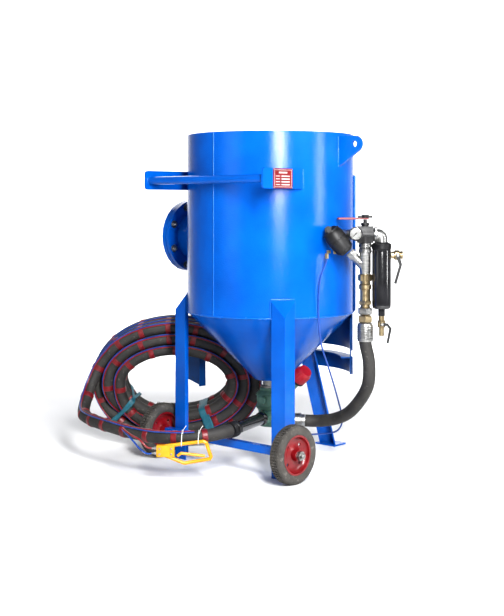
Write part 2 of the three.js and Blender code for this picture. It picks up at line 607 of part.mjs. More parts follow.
  const drop = (profile, segments = 14) => solid(turned(profile, segments).translate(DROP_X, y, 0));
  const branch = solid(rodBetween([DROP_X, y, 930], [DROP_X - 62, y, 997], 20, 14));
  const plugNut = solid(rodBetween([DROP_X - 50, y, 984], [DROP_X - 70, y, 1005.6], 23.5, 6));
  add('y_strainer', join(drop([
    [0, 905], [24, 905], [26, 916], [26, 1000], [29, 1006], [29, 1022], [25, 1026], [29, 1030],
    [29, 1045 - GAP], [0, 1045 - GAP],
  ]), branch, plugNut), STEEL);
  add('check_valve', drop([
    [0, 763], [22, 763], [24, 766], [24, 834], [29, 838], [29, 856], [24, 860], [24, 872],
    [30, 874], [30, 905 - GAP], [0, 905 - GAP],
  ], 14), BRASS);
  add('hose_union', drop([
    [0, 685], [25, 685], [25, 716], [20, 718], [29, 722], [29, 750], [22, 754],
    [22, 763 - GAP], [0, 763 - GAP],
  ], 14), BRASS);
  add('hose_ferrule', drop([
    [0, 598], [35, 598], [36, 602], [36, 672], [32, 680], [24, 685 - GAP], [0, 685 - GAP],
  ]), STEEL);
}

// ---------------------------------------------------------------- hoses, coil and rack

// Puts a body built flat in XY at the coil's place, standing up and leaning in at the top.
const atCoil = (geometry) => geometry.rotateX(radians(90 + COIL.lean)).translate(COIL.x, COIL.y, COIL.z);

function coilRing(grow = 0) {
  const { halfX, halfZ, bundle } = COIL;
  const shape = new THREE.Shape();
  shape.absellipse(0, 0, halfX + bundle + grow, halfZ + bundle + grow, 0, 2 * Math.PI, false, 0);
  const hole = new THREE.Path();
  hole.absellipse(0, 0, halfX - bundle - grow, halfZ - bundle - grow, 0, 2 * Math.PI, true, 0);
  shape.holes.push(hole);
  const deep = 2 * (bundle + grow);
  return solid(atCoil(slab(shape, deep, 16).translate(0, 0, -deep / 2)));
}

function hoses() {
  const add = (name, shape, material) => part(name, shape, material, service);
  const [ferruleX, ferruleY, ferruleZ] = AIR_HOSE_ROUTE[0];
  const ferrule = solid(block(100, 100, 60, [ferruleX, ferruleY, ferruleZ + 30]));
  const inlet = solid(rodBetween([0, 0, INLET.z], [INLET.endR + GAP, 0, INLET.z], 60));
  add('air_hose', cut(solid(hose(AIR_HOSE_ROUTE, AIR_HOSE_R, 8, 22)), ferrule, inlet), RUBBER);
  add('control_tube', hose(CONTROL_TUBE_ROUTE, CONTROL_TUBE_R, 6, 56), TUBE_BLUE);
  const along = turnBy(OUTLET_TURN - SERVICE_TURN, [0, -(OUTLET.endR + GAP), OUTLET.z]);
  const coupling = solid(rodBetween([0, 0, OUTLET.z], along, 60));
  add('blast_hose', cut(solid(hose(BLAST_HOSE_ROUTE, BLAST_HOSE_R, 8, 32)), coupling, coilRing(GAP)), RUBBER);
  add('blast_hose_coil', coilRing(), RUBBER);
}

// The plate on the tank's left side that the coiled hose hangs against.
function hoseHanger() {
  const { azimuth, rootR, innerR, outerR, thick, strip } = HANGER;
  const plate = slab(outline([
    [rootR - 10, 720], [innerR, 640], [innerR, 290], [outerR, 320], [outerR, 600], [rootR - 10, 800],
  ]), thick).rotateX(Math.PI / 2).translate(0, thick / 2, 0);
  const edge = block(6, strip, 350, [innerR, 0, 290 + 175]);
  const hanger = cut(join(solid(plate), solid(edge)), tankCutter());
  part('hose_hanger', hanger.rotate([0, 0, azimuth]), DARK_BLUE);
}

// ---------------------------------------------------------------- remote handle

function deadman() {
  const y = DEADMAN_Y;
  const at = (x, z) => [x, y, z];
  const frame = bentBar([
    at(-462, 160), at(-296, 180), at(-283, 174), at(-262, 112), at(-268, 103), at(-380, 84), at(-488, 128),
  ], DEADMAN_ROD_R);
  const body = solid(block(78, 26, 50, [-462, y, 139]));
  part('deadman_frame', join(frame, body), YELLOW, service);
  const lever = bentBar([at(-288, 116), at(-394, 128), at(-410, 116)], DEADMAN_LEVER_R);
  part('deadman_lever', lever, YELLOW, service);
}

// ---------------------------------------------------------------- build

tankShell();
tankCone();
topHead();
popupValve();
outletCollar();
handhole();
liftingLugs();
pullHandle();
rearDoubler();
legs();
rearLeg();
rearSkirt();
wheels();
meteringValve();
valveLines();
airLine();
hoses();
hoseHanger();
deadman();

// The origin is the middle of the base of everything but the hoses and what is on them.
const FREE = new Set([
  'air_hose', 'control_tube', 'blast_hose', 'blast_hose_coil', 'deadman_frame', 'deadman_lever',
]);
group.updateMatrixWorld(true);
const solidBox = new THREE.Box3();
group.traverse((object) => {
  if (object.isMesh && !FREE.has(object.name)) solidBox.expandByObject(object, true);
});
const middle = solidBox.getCenter(new THREE.Vector3());
group.position.set(-middle.x, -middle.y, -solidBox.min.z);
group.updateMatrixWorld(true);

export default group;
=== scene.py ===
# Looks for the wheeled abrasive blasting pot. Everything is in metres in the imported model's frame.
# The service frame is the machine's frame turned about the tank's axis by SERVICE_TURN: the camera looks
# along its +Y, and the air line and the hoses are laid out in it, in millimetres.

import bpy
import json
import math
import random
from mathutils import Matrix, Vector, noise


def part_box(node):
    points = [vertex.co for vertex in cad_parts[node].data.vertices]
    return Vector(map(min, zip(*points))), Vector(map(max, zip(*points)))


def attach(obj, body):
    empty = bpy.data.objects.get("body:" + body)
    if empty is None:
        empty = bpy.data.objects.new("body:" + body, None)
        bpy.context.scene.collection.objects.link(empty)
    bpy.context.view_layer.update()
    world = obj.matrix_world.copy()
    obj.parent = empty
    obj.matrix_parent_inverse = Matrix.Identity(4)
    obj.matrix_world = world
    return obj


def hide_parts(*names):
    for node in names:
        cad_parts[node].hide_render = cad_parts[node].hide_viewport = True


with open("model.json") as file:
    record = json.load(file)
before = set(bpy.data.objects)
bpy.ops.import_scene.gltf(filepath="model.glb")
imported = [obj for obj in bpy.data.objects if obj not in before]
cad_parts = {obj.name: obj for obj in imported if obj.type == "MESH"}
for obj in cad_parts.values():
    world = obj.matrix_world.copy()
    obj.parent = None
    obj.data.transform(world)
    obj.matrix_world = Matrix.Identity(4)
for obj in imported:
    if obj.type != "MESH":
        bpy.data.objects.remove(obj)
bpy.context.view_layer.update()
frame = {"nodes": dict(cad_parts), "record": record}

# -------------------- driving dimensions

SERVICE_TURN = math.radians(42)
CAMERA_DISTANCE = 5.6
CAMERA_HEIGHT = 1.2265
LENS = 67.91
CAMERA_SHIFT = (-0.030, -0.1692)

LOW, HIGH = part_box("tank_shell")
AXIS_X = (LOW.x + HIGH.x) / 2
AXIS_Y = (LOW.y + HIGH.y) / 2
TANK_R = (HIGH.x - LOW.x) / 2
RIM_Z = HIGH.z
SEAM_Z = LOW.z
CONE_FOOT_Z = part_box("tank_cone")[0].z
CONE_FOOT_R = 0.078
OUTLET_BORE_R = 0.028
FILLER_PORT_R = 0.052
WALL = 0.008
UP = Vector((0, 0, 1))
X_WAY = Vector((1, 0, 0))

# Where the welds run on the tank, in degrees from +X and in metres, as the CAD has them.
SEAM_AZIMUTH = -88.5
FRONT_LEG_AZIMUTHS = (-40, -140)
LEG_WELD_Z = (0.715, 0.790)
LEG_TOP_Z = 0.797
LUG_AZIMUTHS = (4.5, 184.5)
LUG_WELD_Z = (1.397, 1.536)
NOZZLE_R = 0.1235
NOZZLE_Z = 1.063
DOUBLER = [(35, 0.717), (145, 0.717), (145, 1.360), (35, 1.360)]
BRACKET_Z = (1.294, 1.382)

# Places in the service frame, in millimetres: the air line's two axes, the gauge and the remote handle.
AIR_DROP = (433, -285)
SEPARATOR = (508, -285)
GAUGE = (384, -374, 1091)
DEADMAN_Y = -483
# The crimped ferrule of the air hose, in metres.
FERRULE_Z = (0.606, 0.668)
FERRULE_RINGS = 6

# Radii of the hoses, of the control tube and of the two lines taped along the blast hose.
BLAST_HOSE_R = 0.029
AIR_HOSE_R = 0.029
CONTROL_TUBE_R = 0.004
LINE_R = 0.003
TAPE_R = BLAST_HOSE_R + 0.0012
# The coil's centre in the service frame and its middle layer's half sizes, in millimetres.
COIL = {"x": -473, "y": 292, "z": 336, "half_x": 343, "half_z": 235, "lean": math.radians(10)}
COIL_PITCH = 0.0585
COIL_STEPS = 72
LAST_TURN = 0.80
BAND_SPACING = 0.145

# Hose routes in the service frame, in millimetres, from the exit to the far end.
AIR_HOSE_ROUTE = [
    (433, -285, 597), (437, -285, 570), (450, -281, 511), (452, -270, 427), (440, -250, 369),
    (407, -200, 301), (365, -135, 242), (310, -65, 203), (250, -18, 185), (205, -2, 181), (167, 0, 182),
]
CONTROL_TUBE_ROUTE = [
    (254, -362, 976), (248, -362, 955), (236, -360, 925), (223, -356, 880), (217, -355, 800),
    (217, -352, 730), (222, -338, 640), (238, -306, 560), (268, -255, 470), (296, -180, 380),
    (322, -100, 290), (340, -30, 220), (345, 30, 160), (322, 76, 116), (272, 98, 100),
    (212, 90, 98), (152, 62, 98), (100, 34, 104), (60, 14, 118), (38, 4, 150),
]
BLAST_HOSE_ROUTE = [
    (-183, -373, 207), (-207, -398, 205), (-256, -424, 198), (-313, -440, 193), (-380, -440, 188),
    (-447, -430, 187), (-517, -400, 185), (-588, -360, 188), (-662, -310, 194), (-724, -260, 201),
    (-790, -190, 205), (-848, -105, 206), (-890, -20, 209), (-909, 55, 220), (-912, 115, 245),
    (-904, 166, 288), (-890, 200, 338),
]

# Half of the rim's profile, as (radius, distance along the axle from the wheel's middle).
RIM_HALF = [
    (0.0126, -0.035), (0.025, -0.035), (0.0255, -0.033), (0.0255, -0.010), (0.034, -0.006),
    (0.046, -0.003), (0.066, -0.0035), (0.073, -0.008), (0.078, -0.018), (0.080, -0.0262),
    (0.0875, -0.0268), (0.0878, -0.024), (0.0855, -0.018),
]
TYRE_SEAT_R = 0.0883
CROWN_DROP = 0.003
LUG_COUNT = 64
RIM_HOLES = 4

# The floor runs flat towards the backdrop, then sweeps up in a quarter circle.
FLOOR_HALF = 14
FLOOR_ROWS = 24
FLAT_ROWS = 12
FLOOR_STEP = 1.6
SWEEP_START = 5.2
SWEEP_R = 4

# Area lights: name, place, size in metres, power in watts and aim. Places are in the service frame.
LIGHTS = [
    ("key", (2600, -2600, 3000), (1.6, 2.6), 30, (0, 0, 800)),
    ("strip", (780, -3700, 2450), (0.60, 2.3), 340, (0, 0, 1500)),
    ("side_strip", (3600, -1500, 2000), (0.22, 2.8), 70, (0, 0, 800)),
    ("fill", (-3200, -2600, 1900), (1.6, 2.4), 14, (0, 0, 800)),
    ("back", (-1200, 3000, 3000), (2.4, 1.6), 40, (0, 0, 800)),
    ("backdrop", (0, 3400, 3600), (7.0, 1.5), 620, (0, 8600, 1200)),
]
SKY_COLOUR = (0.93, 0.95, 1.0, 1)
SKY_STRENGTH = 0.27


def service(x, y, z):
    """A point given in the service frame in millimetres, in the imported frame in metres."""
    turned = Matrix.Rotation(SERVICE_TURN, 3, "Z") @ Vector((x, y, z)) / 1000
    return turned + Vector((AXIS_X, AXIS_Y, 0))


def route(points):
    return [service(*at) for at in points]


def service_way(x, y, z):
    """A unit direction given in the service frame."""
    return (Matrix.Rotation(SERVICE_TURN, 3, "Z") @ Vector((x, y, z))).normalized()


def round_tank(azimuth, r, z):
    """A point at an azimuth in degrees from +X, a radius and a height."""
    a = math.radians(azimuth)
    return Vector((AXIS_X + r * math.cos(a), AXIS_Y + r * math.sin(a), z))


def turns(count, start=0.0):
    """Angles spaced evenly round a circle, the first one given in steps."""
    return [2 * math.pi * (i + start) / count for i in range(count)]


def add_object(name, data):
    piece = bpy.data.objects.new(name, data)
    bpy.context.scene.collection.objects.link(piece)
    return piece


FRONT = service_way(0, -1, 0)
ACROSS = service_way(1, 0, 0)


# -------------------- camera

def make_camera():
    data = bpy.data.cameras.new("camera")
    data.lens = LENS
    data.sensor_width = 36
    data.shift_x, data.shift_y = CAMERA_SHIFT
    camera = add_object("camera", data)
    camera.location = service(0, -1000 * CAMERA_DISTANCE, 1000 * CAMERA_HEIGHT)
    camera.rotation_euler = (math.pi / 2, 0, SERVICE_TURN)
    bpy.context.scene.camera = camera


# -------------------- materials

MATERIALS = {}


def new_material(name):
    """Adds a material to MATERIALS. Returns its nodes, its links and its shader."""
    material = bpy.data.materials.new(name)
    material.use_nodes = True
    MATERIALS[name] = material
    nodes = material.node_tree.nodes
    return nodes, material.node_tree.links, nodes["Principled BSDF"]


def add_node(nodes, kind, **inputs):
    """A new shader node with inputs set by name. An underscore in a name stands for a space."""
    node = nodes.new(kind)
    for name, value in inputs.items():
        node.inputs[name.replace("_", " ")].default_value = value
    return node


def surface(name, dark, light, rough=(0.3, 0.45), metal=0.0, scale=6.0, grain=220.0, bump=0.1,
            relief=0.0006, coat=0.0, shine=0.5, stretch=(1, 1, 1), dirt=None, dirt_from=0.62):
    """A finish whose colour and gloss vary over large patches, with a fine relief and optional dirt."""
    nodes, links, shader = new_material(name)
    place = nodes.new("ShaderNodeTexCoord")
    mapping = add_node(nodes, "ShaderNodeMapping", Scale=stretch)
    links.new(place.outputs["Object"], mapping.inputs["Vector"])
    patches = add_node(nodes, "ShaderNodeTexNoise", Scale=scale, Detail=4)
    links.new(mapping.outputs["Vector"], patches.inputs["Vector"])
    tint = nodes.new("ShaderNodeValToRGB")
    for stop, position, shade in zip(tint.color_ramp.elements, (0.3, 0.7), (dark, light)):
        stop.position = position
        stop.color = (*shade, 1)
    links.new(patches.outputs["Fac"], tint.inputs["Fac"])
    colour = tint.outputs["Color"]
    if dirt:
        spots = add_node(nodes, "ShaderNodeTexNoise", Scale=3.2 * scale, Detail=9, Roughness=0.68)
        links.new(place.outputs["Object"], spots.inputs["Vector"])
        amount = add_node(nodes, "ShaderNodeMapRange", From_Min=dirt_from, From_Max=dirt_from + 0.12)
        links.new(spots.outputs["Fac"], amount.inputs["Value"])
        mix = nodes.new("ShaderNodeMix")
        mix.data_type = "RGBA"
        mix.inputs["B"].default_value = (*dirt, 1)
        links.new(amount.outputs["Result"], mix.inputs["Factor"])
        links.new(colour, mix.inputs["A"])
        colour = mix.outputs["Result"]
    links.new(colour, shader.inputs["Base Color"])
    gloss = add_node(nodes, "ShaderNodeMapRange", To_Min=rough[0], To_Max=rough[1])
    links.new(patches.outputs["Fac"], gloss.inputs["Value"])
    links.new(gloss.outputs["Result"], shader.inputs["Roughness"])
    fine = add_node(nodes, "ShaderNodeTexNoise", Scale=grain, Detail=2)
    links.new(mapping.outputs["Vector"], fine.inputs["Vector"])
    lift = add_node(nodes, "ShaderNodeBump", Strength=bump, Distance=relief)
    links.new(fine.outputs["Fac"], lift.inputs["Height"])
    links.new(lift.outputs["Normal"], shader.inputs["Normal"])
    shader.inputs["Metallic"].default_value = metal
    shader.inputs["Specular IOR Level"].default_value = shine
    if coat:
        shader.inputs["Coat Weight"].default_value = coat
        shader.inputs["Coat Roughness"].default_value = 0.08


surface("tank_paint", (0.0001, 0.068, 0.335), (0.0002, 0.092, 0.420), (0.12, 0.18), shine=0.26,
        grain=180, bump=0.65, relief=0.0011, dirt=(0.004, 0.09, 0.30), dirt_from=0.70)
# Painted shade: bracket_paint is the tank's blue paint made darker, standing in for the shade the brackets
# sit in. Its dirt spots are real dirt.
surface("bracket_paint", (0.0004, 0.050, 0.205), (0.0008, 0.068, 0.265), shine=0.28, grain=110,
        bump=0.3, relief=0.001, dirt=(0.01, 0.05, 0.14), dirt_from=0.60)
surface("red_paint", (0.12, 0.001, 0.003), (0.18, 0.002, 0.005), (0.28, 0.42), scale=20, grain=240,
        bump=0.12, coat=0.2, dirt=(0.18, 0.06, 0.05), dirt_from=0.64)
surface("yellow_paint", (0.50, 0.22, 0.0012), (0.60, 0.29, 0.002), (0.3, 0.5), scale=30, grain=320,
        bump=0.25, dirt=(0.40, 0.27, 0.04), dirt_from=0.64)
surface("valve_green", (0.07, 0.165, 0.125), (0.11, 0.22, 0.17), (0.45, 0.6), scale=24, grain=330,
        bump=0.45, relief=0.001, dirt=(0.24, 0.24, 0.20), dirt_from=0.60)
surface("cap_red", (0.19, 0.002, 0.009), (0.26, 0.004, 0.013), (0.35, 0.5), scale=24, grain=330,
        bump=0.35, dirt=(0.18, 0.05, 0.04), dirt_from=0.62)
surface("steel", (0.20, 0.20, 0.195), (0.36, 0.36, 0.35), (0.24, 0.42), metal=0.95, scale=40, grain=500,
        bump=0.12, stretch=(1, 1, 4), dirt=(0.26, 0.24, 0.21), dirt_from=0.63)
surface("brass", (0.26, 0.20, 0.115), (0.42, 0.34, 0.21), (0.22, 0.38), metal=0.95, scale=40, grain=450,
        bump=0.12, dirt=(0.30, 0.19, 0.08), dirt_from=0.62)
surface("black_metal", (0.003, 0.003, 0.0035), (0.008, 0.008, 0.009), (0.38, 0.55), scale=24, grain=400,
        bump=0.3, shine=0.35, dirt=(0.05, 0.048, 0.045), dirt_from=0.66)
surface("gloss_black", (0.006, 0.006, 0.007), (0.014, 0.014, 0.016), (0.12, 0.22), scale=18, grain=200,
        bump=0.05, coat=0.5, dirt=(0.07, 0.07, 0.065), dirt_from=0.66)
surface("hose_rubber", (0.012, 0.011, 0.0105), (0.030, 0.028, 0.025), (0.6, 0.8), scale=14, grain=700,
        bump=0.35, relief=0.0008, dirt=(0.085, 0.08, 0.07), dirt_from=0.60)
surface("tyre_rubber", (0.030, 0.027, 0.024), (0.062, 0.057, 0.050), (0.7, 0.9), scale=16, grain=500,
        bump=0.4, relief=0.001, dirt=(0.13, 0.12, 0.105), dirt_from=0.55)
surface("tube_blue", (0.001, 0.034, 0.20), (0.002, 0.055, 0.30), (0.25, 0.4), scale=30, grain=400,
        bump=0.06, coat=0.3)
surface("tube_red", (0.15, 0.003, 0.005), (0.22, 0.005, 0.008), (0.25, 0.4), scale=30, grain=400,
        bump=0.06, coat=0.3)
surface("tape_red", (0.095, 0.002, 0.005), (0.16, 0.004, 0.008), (0.35, 0.5), scale=30, grain=500,
        bump=0.2)
surface("strap_teal", (0.003, 0.055, 0.085), (0.008, 0.105, 0.14), (0.4, 0.6), scale=50, grain=900,
        bump=0.5)
surface("white_plastic", (0.52, 0.52, 0.50), (0.62, 0.62, 0.60), (0.35, 0.5), scale=40, grain=500,
        bump=0.08)
surface("ink", (0.012, 0.012, 0.014), (0.03, 0.03, 0.032), (0.5, 0.6), scale=80)
surface("weld_paint", (0.0001, 0.080, 0.350), (0.0002, 0.105, 0.440), (0.2, 0.32), grain=260, bump=0.6,
        relief=0.0014, shine=0.4)
surface("floor", (0.86, 0.86, 0.86), (0.90, 0.90, 0.90), (0.55, 0.65), scale=1.2, grain=60, bump=0.02)


def make_glass_material():
    nodes, links, shader = new_material("gauge_glass")
    smudge = add_node(nodes, "ShaderNodeTexNoise", Scale=60)
    span = add_node(nodes, "ShaderNodeMapRange", To_Min=0.02, To_Max=0.10)
    links.new(smudge.outputs["Fac"], span.inputs["Value"])
    links.new(span.outputs["Result"], shader.inputs["Roughness"])
    shader.inputs["Transmission Weight"].default_value = 1.0
    shader.inputs["IOR"].default_value = 1.45
    shader.inputs["Base Color"].default_value = (1, 1, 1, 1)


# -------------------- mesh work

class Shape:
    """Gathers vertices and faces, and makes one mesh piece of them."""

    def __init__(self):
        self.verts = []
        self.faces = []

    def rings(self, rings, closed=False, caps=True):
        """Joins rings of equal counts, closing the row of rings or capping its two ends."""
        start = len(self.verts)
        count = len(rings[0])
        for ring in rings:
            self.verts.extend(ring)
        rows = len(rings) if closed else len(rings) - 1
        for row in range(rows):
            a = start + row * count
            b = start + ((row + 1) % len(rings)) * count
            for i in range(count):
                j = (i + 1) % count
                self.faces.append((a + i, a + j, b + j, b + i))
        if caps and not closed:
            self.faces.append(tuple(start + i for i in reversed(range(count))))
            last = start + (len(rings) - 1) * count
            self.faces.append(tuple(last + i for i in range(count)))

    def turned(self, profile, origin, way=UP, segments=48, closed=False, turn=0.0):
        """A body turned about way, from (radius, distance) points that start near the far side."""
        spin = Vector(way).to_track_quat("Z", "Y").to_matrix()
        rings = []
        for r, z in profile:
            ring = []
            for i in range(segments):
                a = 2 * math.pi * i / segments + turn
                ring.append(origin + spin @ Vector((r * math.cos(a), r * math.sin(a), z)))
            rings.append(ring)
        self.rings(rings, closed=closed)

    def collar(self, middle, low_r, high_r, half, flat, origin, way, segments):
        """A raised ring with sloped sides. half and flat are half its width at the foot and on top."""
        self.turned([(low_r, middle - half), (high_r, middle - flat), (high_r, middle + flat),
                     (low_r, middle + half)], origin, way, segments)

    def hexagon(self, flat_r, low, high, origin, way, turn=0.0):
        """A hexagon nut, from the radius to its flats, with a small chamfer at both ends."""
        r = flat_r / math.cos(math.pi / 6)
        chamfer = 0.08 * flat_r
        self.turned([(r - chamfer, low), (r, low + chamfer), (r, high - chamfer), (r - chamfer, high)],
                    origin, way, 6, turn=turn)

    def tube(self, path, radius, sides=12, closed=False, wobble=0.0, seed=0):
        """A tube along points, whose radius can ripple as a weld bead's does."""
        rings = []
        count = len(path)
        side = None
        for i, at in enumerate(path):
            ahead = path[(i + 1) % count] if closed or i < count - 1 else at
            behind = path[i - 1] if closed or i > 0 else at
            along = (ahead - behind).normalized()
            if side is None:
                side = along.orthogonal().normalized()
            side = (side - along * side.dot(along)).normalized()
            other = along.cross(side)
            r = radius * (1 + wobble * noise.noise(Vector((i * 0.9, seed, 0))))
            rings.append([at + r * (math.cos(a) * side + math.sin(a) * other) for a in turns(sides)])
        self.rings(rings, closed=closed)

    def slab(self, outline, origin, across, up, thickness):
        """A flat outline of (across, up) points, given a thickness along their cross product."""
        out = across.cross(up).normalized()
        front = [origin + across * x + up * y + out * thickness for x, y in outline]
        back = [origin + across * x + up * y for x, y in outline]
        self.rings([back, front])

    def make(self, name, material, body="pot", replaces=(), angle=35, bevel=0.0):
        mesh = bpy.data.meshes.new(name)
        mesh.from_pydata(self.verts, [], self.faces)
        mesh.update()
        mesh.shade_smooth()
        mesh.set_sharp_from_angle(angle=math.radians(angle))
        piece = add_object(name, mesh)
        mesh.materials.append(MATERIALS[material])
        if bevel:
            edge = piece.modifiers.new("bevel", "BEVEL")
            edge.width = bevel
            edge.segments = 2
            edge.limit_method = "ANGLE"
        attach(piece, body)
        if replaces:
            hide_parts(*replaces)
        return piece


def bolt(shape, at, way, flat_r=0.012, turn=0.0):
    """A hexagon head with a washer and the end of its stud."""
    shape.turned([(flat_r * 1.55, -0.001), (flat_r * 1.55, 0.0022)], at, way, 20)
    shape.hexagon(flat_r, 0.0022, 0.0022 + flat_r * 0.85, at, way, turn)
    shape.turned([(flat_r * 0.58, 0.004), (flat_r * 0.58, flat_r * 1.25), (flat_r * 0.45, flat_r * 1.4)],
                 at, way, 14)


# -------------------- hoses

def smooth_path(points, step):
    """A Catmull-Rom curve through points, sampled about every step metres."""
    path = []
    full = [2 * points[0] - points[1], *points, 2 * points[-1] - points[-2]]
    for i in range(1, len(full) - 2):
        a, b, c, d = full[i - 1:i + 3]
        count = max(2, round((c - b).length / step))
        for k in range(count):
            t = k / count
            path.append(0.5 * (2 * b + (c - a) * t + (2 * a - 5 * b + 4 * c - d) * t * t
                               + (3 * b - a - 3 * c + d) * t ** 3))
    path.append(points[-1])
    return path


def coil_axes():
    """The coil's three directions: across, up its leaning plane, and through it."""
    up = service_way(0, -math.sin(COIL["lean"]), math.cos(COIL["lean"]))
    return ACROSS, up, ACROSS.cross(up)


def coil_point(angle, layer, row):
    """The centre of the bundle's strand at an angle, in a layer outwards and a row through the coil."""
    across, up, through = coil_axes()
    centre = service(COIL["x"], COIL["y"], COIL["z"])
    half_x = COIL["half_x"] / 1000 + layer * COIL_PITCH
    half_z = COIL["half_z"] / 1000 + layer * COIL_PITCH
    return (centre + across * half_x * math.cos(angle) + up * half_z * math.sin(angle)
            + through * row * COIL_PITCH)


def coil_turns():
    """Winds three layers of three rows, from the outer layer in. Returns points and outward diagonals."""
    across, up, through = coil_axes()
    seats = []
    for i, layer in enumerate((1, 0, -1)):
        rows = (1, 0, -1) if i % 2 == 0 else (-1, 0, 1)
        seats += [(layer, row) for row in rows]
    points, diagonals = [], []
    for n, (layer, row) in enumerate(seats):
        is_last = n + 1 == len(seats)
        next_layer, next_row = (layer, row) if is_last else seats[n + 1]
        count = int(COIL_STEPS * LAST_TURN) if is_last else COIL_STEPS
        for k in range(count):
            share = k / COIL_STEPS
            blend = max(0.0, (share - 0.8) / 0.2)
            blend = blend * blend * (3 - 2 * blend)
            angle = math.pi - 2 * math.pi * share
            points.append(coil_point(angle, layer + (next_layer - layer) * blend,
                                     row + (next_row - row) * blend))
            out = (across * math.cos(angle) + up * math.sin(angle)).normalized()
            diagonals.append((out + through).normalized())
    return points, diagonals


def curve_piece(name, path, radius, material, resolution=6):
    """A round cord along a path."""
    data = bpy.data.curves.new(name, "CURVE")
    data.dimensions = "3D"
    data.bevel_depth = radius
    data.bevel_resolution = resolution
    data.use_fill_caps = True
    spline = data.splines.new("POLY")
    spline.points.add(len(path) - 1)
    for point, at in zip(spline.points, path):
        point.co = (*at, 1)
    data.materials.append(MATERIALS[material])
    piece = add_object(name, data)
    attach(piece, "pot")
    return piece


def carried(path, side_at_end):
    """Side directions along a path, carried back without twist from the one at its end."""
    sides = [side_at_end]
    for i in range(len(path) - 2, -1, -1):
        along = (path[i + 1] - path[i]).normalized()
        side = sides[-1] - along * sides[-1].dot(along)
        sides.append(side.normalized())
    return list(reversed(sides))


def make_hose_tape(path, width=0.026):
    """Tape bands wound round the blast hose at uneven spacing, all in one piece."""
    shape = Shape()
    travelled, next_band = 0.0, BAND_SPACING
    for a, b in zip(path, path[1:]):
        travelled += (b - a).length
        if travelled < next_band:
            continue
        next_band += BAND_SPACING * (0.85 + 0.3 * random.random())
        way = (b - a).normalized()
        shape.turned([(TAPE_R - 0.001, -width / 2), (TAPE_R + 0.001, -width / 2 + 0.002),
                      (TAPE_R + 0.0016, 0), (TAPE_R + 0.001, width / 2 - 0.002),
                      (TAPE_R - 0.001, width / 2)], a, way, 20)
    return shape.make("hose_tape", "tape_red")


def make_blast_hose():
    """The hose from the outlet into the coil, the two lines taped along it, its ties and its end."""
    wound, diagonals = coil_turns()
    meet = 8
    lead = smooth_path([*route(BLAST_HOSE_ROUTE), wound[4], wound[meet]], 0.02)
    path = [*lead, *wound[meet + 1:]]
    sides = [*carried(lead, diagonals[meet]), *diagonals[meet + 1:]]
    hose = curve_piece("blast_hose_rubber", path, BLAST_HOSE_R, "hose_rubber")
    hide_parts("blast_hose", "blast_hose_coil")
    extras = []
    for name, material, turn in (("tube_red_line", "tube_red", 0.11),
                                 ("tube_blue_line", "tube_blue", -0.11)):
        line = []
        for i, (at, side) in enumerate(zip(path, sides)):
            ahead = path[min(i + 1, len(path) - 1)] - path[max(i - 1, 0)]
            tilted = Matrix.Rotation(turn, 3, ahead.normalized()) @ side
            line.append(at + tilted * (BLAST_HOSE_R + 0.0032))
        extras.append(curve_piece(name, line[9:-4], LINE_R, material, resolution=3))
    extras.append(make_hose_tape(path))
    extras.append(make_straps())
    extras.append(make_hose_end(path))
    return hose, extras


def make_hose_end(path):
    """The steel end piece on the inner end of the coil."""
    along = (path[-1] - path[-3]).normalized()
    shape = Shape()
    shape.turned([(0.018, -0.012), (0.031, -0.012), (0.032, 0.0), (0.032, 0.030), (0.027, 0.034),
                  (0.027, 0.044), (0.030, 0.048), (0.030, 0.062), (0.020, 0.064)], path[-1], along, 32)
    return shape.make("hose_end_fitting", "steel")


def make_straps():
    """Teal plastic ties wound round the bundle of strands, crinkled as stretched film is."""
    shape = Shape()
    across, up, through = coil_axes()
    reach = 0.0888
    row_count = 9
    for angle, width, tilt in ((math.radians(212), 0.020, 0.3), (math.radians(221), 0.016, -0.2),
                               (math.radians(-62), 0.045, 0.0)):
        centre = coil_point(angle, 0, 0)
        along = (coil_point(angle + 0.01, 0, 0) - coil_point(angle - 0.01, 0, 0)).normalized()
        out = along.cross(through).normalized()
        if out.dot(across * math.cos(angle) + up * math.sin(angle)) < 0:
            out = -out
        rows = []
        for row in range(row_count):
            offset = (row / (row_count - 1) - 0.5) * width
            ring = []
            for k, a in enumerate(turns(72)):
                c, s = math.cos(a), math.sin(a)
                size = reach / (abs(c) ** 6 + abs(s) ** 6) ** (1 / 6)
                size += 0.0014 * noise.noise(Vector((k * 0.55, row * 1.3, angle * 9)))
                ring.append(centre + out * size * c + through * size * s
                            + along * (offset + tilt * size * s))
            rows.append(ring)
        shape.rings(rows, caps=False)
    piece = shape.make("coil_straps", "strap_teal", angle=180)
    skin = piece.modifiers.new("film", "SOLIDIFY")
    skin.thickness = 0.0008
    return piece


def make_air_hose():
    path = smooth_path(route(AIR_HOSE_ROUTE), 0.018)
    hose = curve_piece("air_hose_rubber", path, AIR_HOSE_R, "hose_rubber", resolution=8)
    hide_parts("air_hose")
    return hose


def make_control_tube():
    path = smooth_path(route(CONTROL_TUBE_ROUTE), 0.012)
    tube = curve_piece("control_tube_line", path, CONTROL_TUBE_R, "tube_blue", resolution=4)
    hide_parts("control_tube")
    return tube


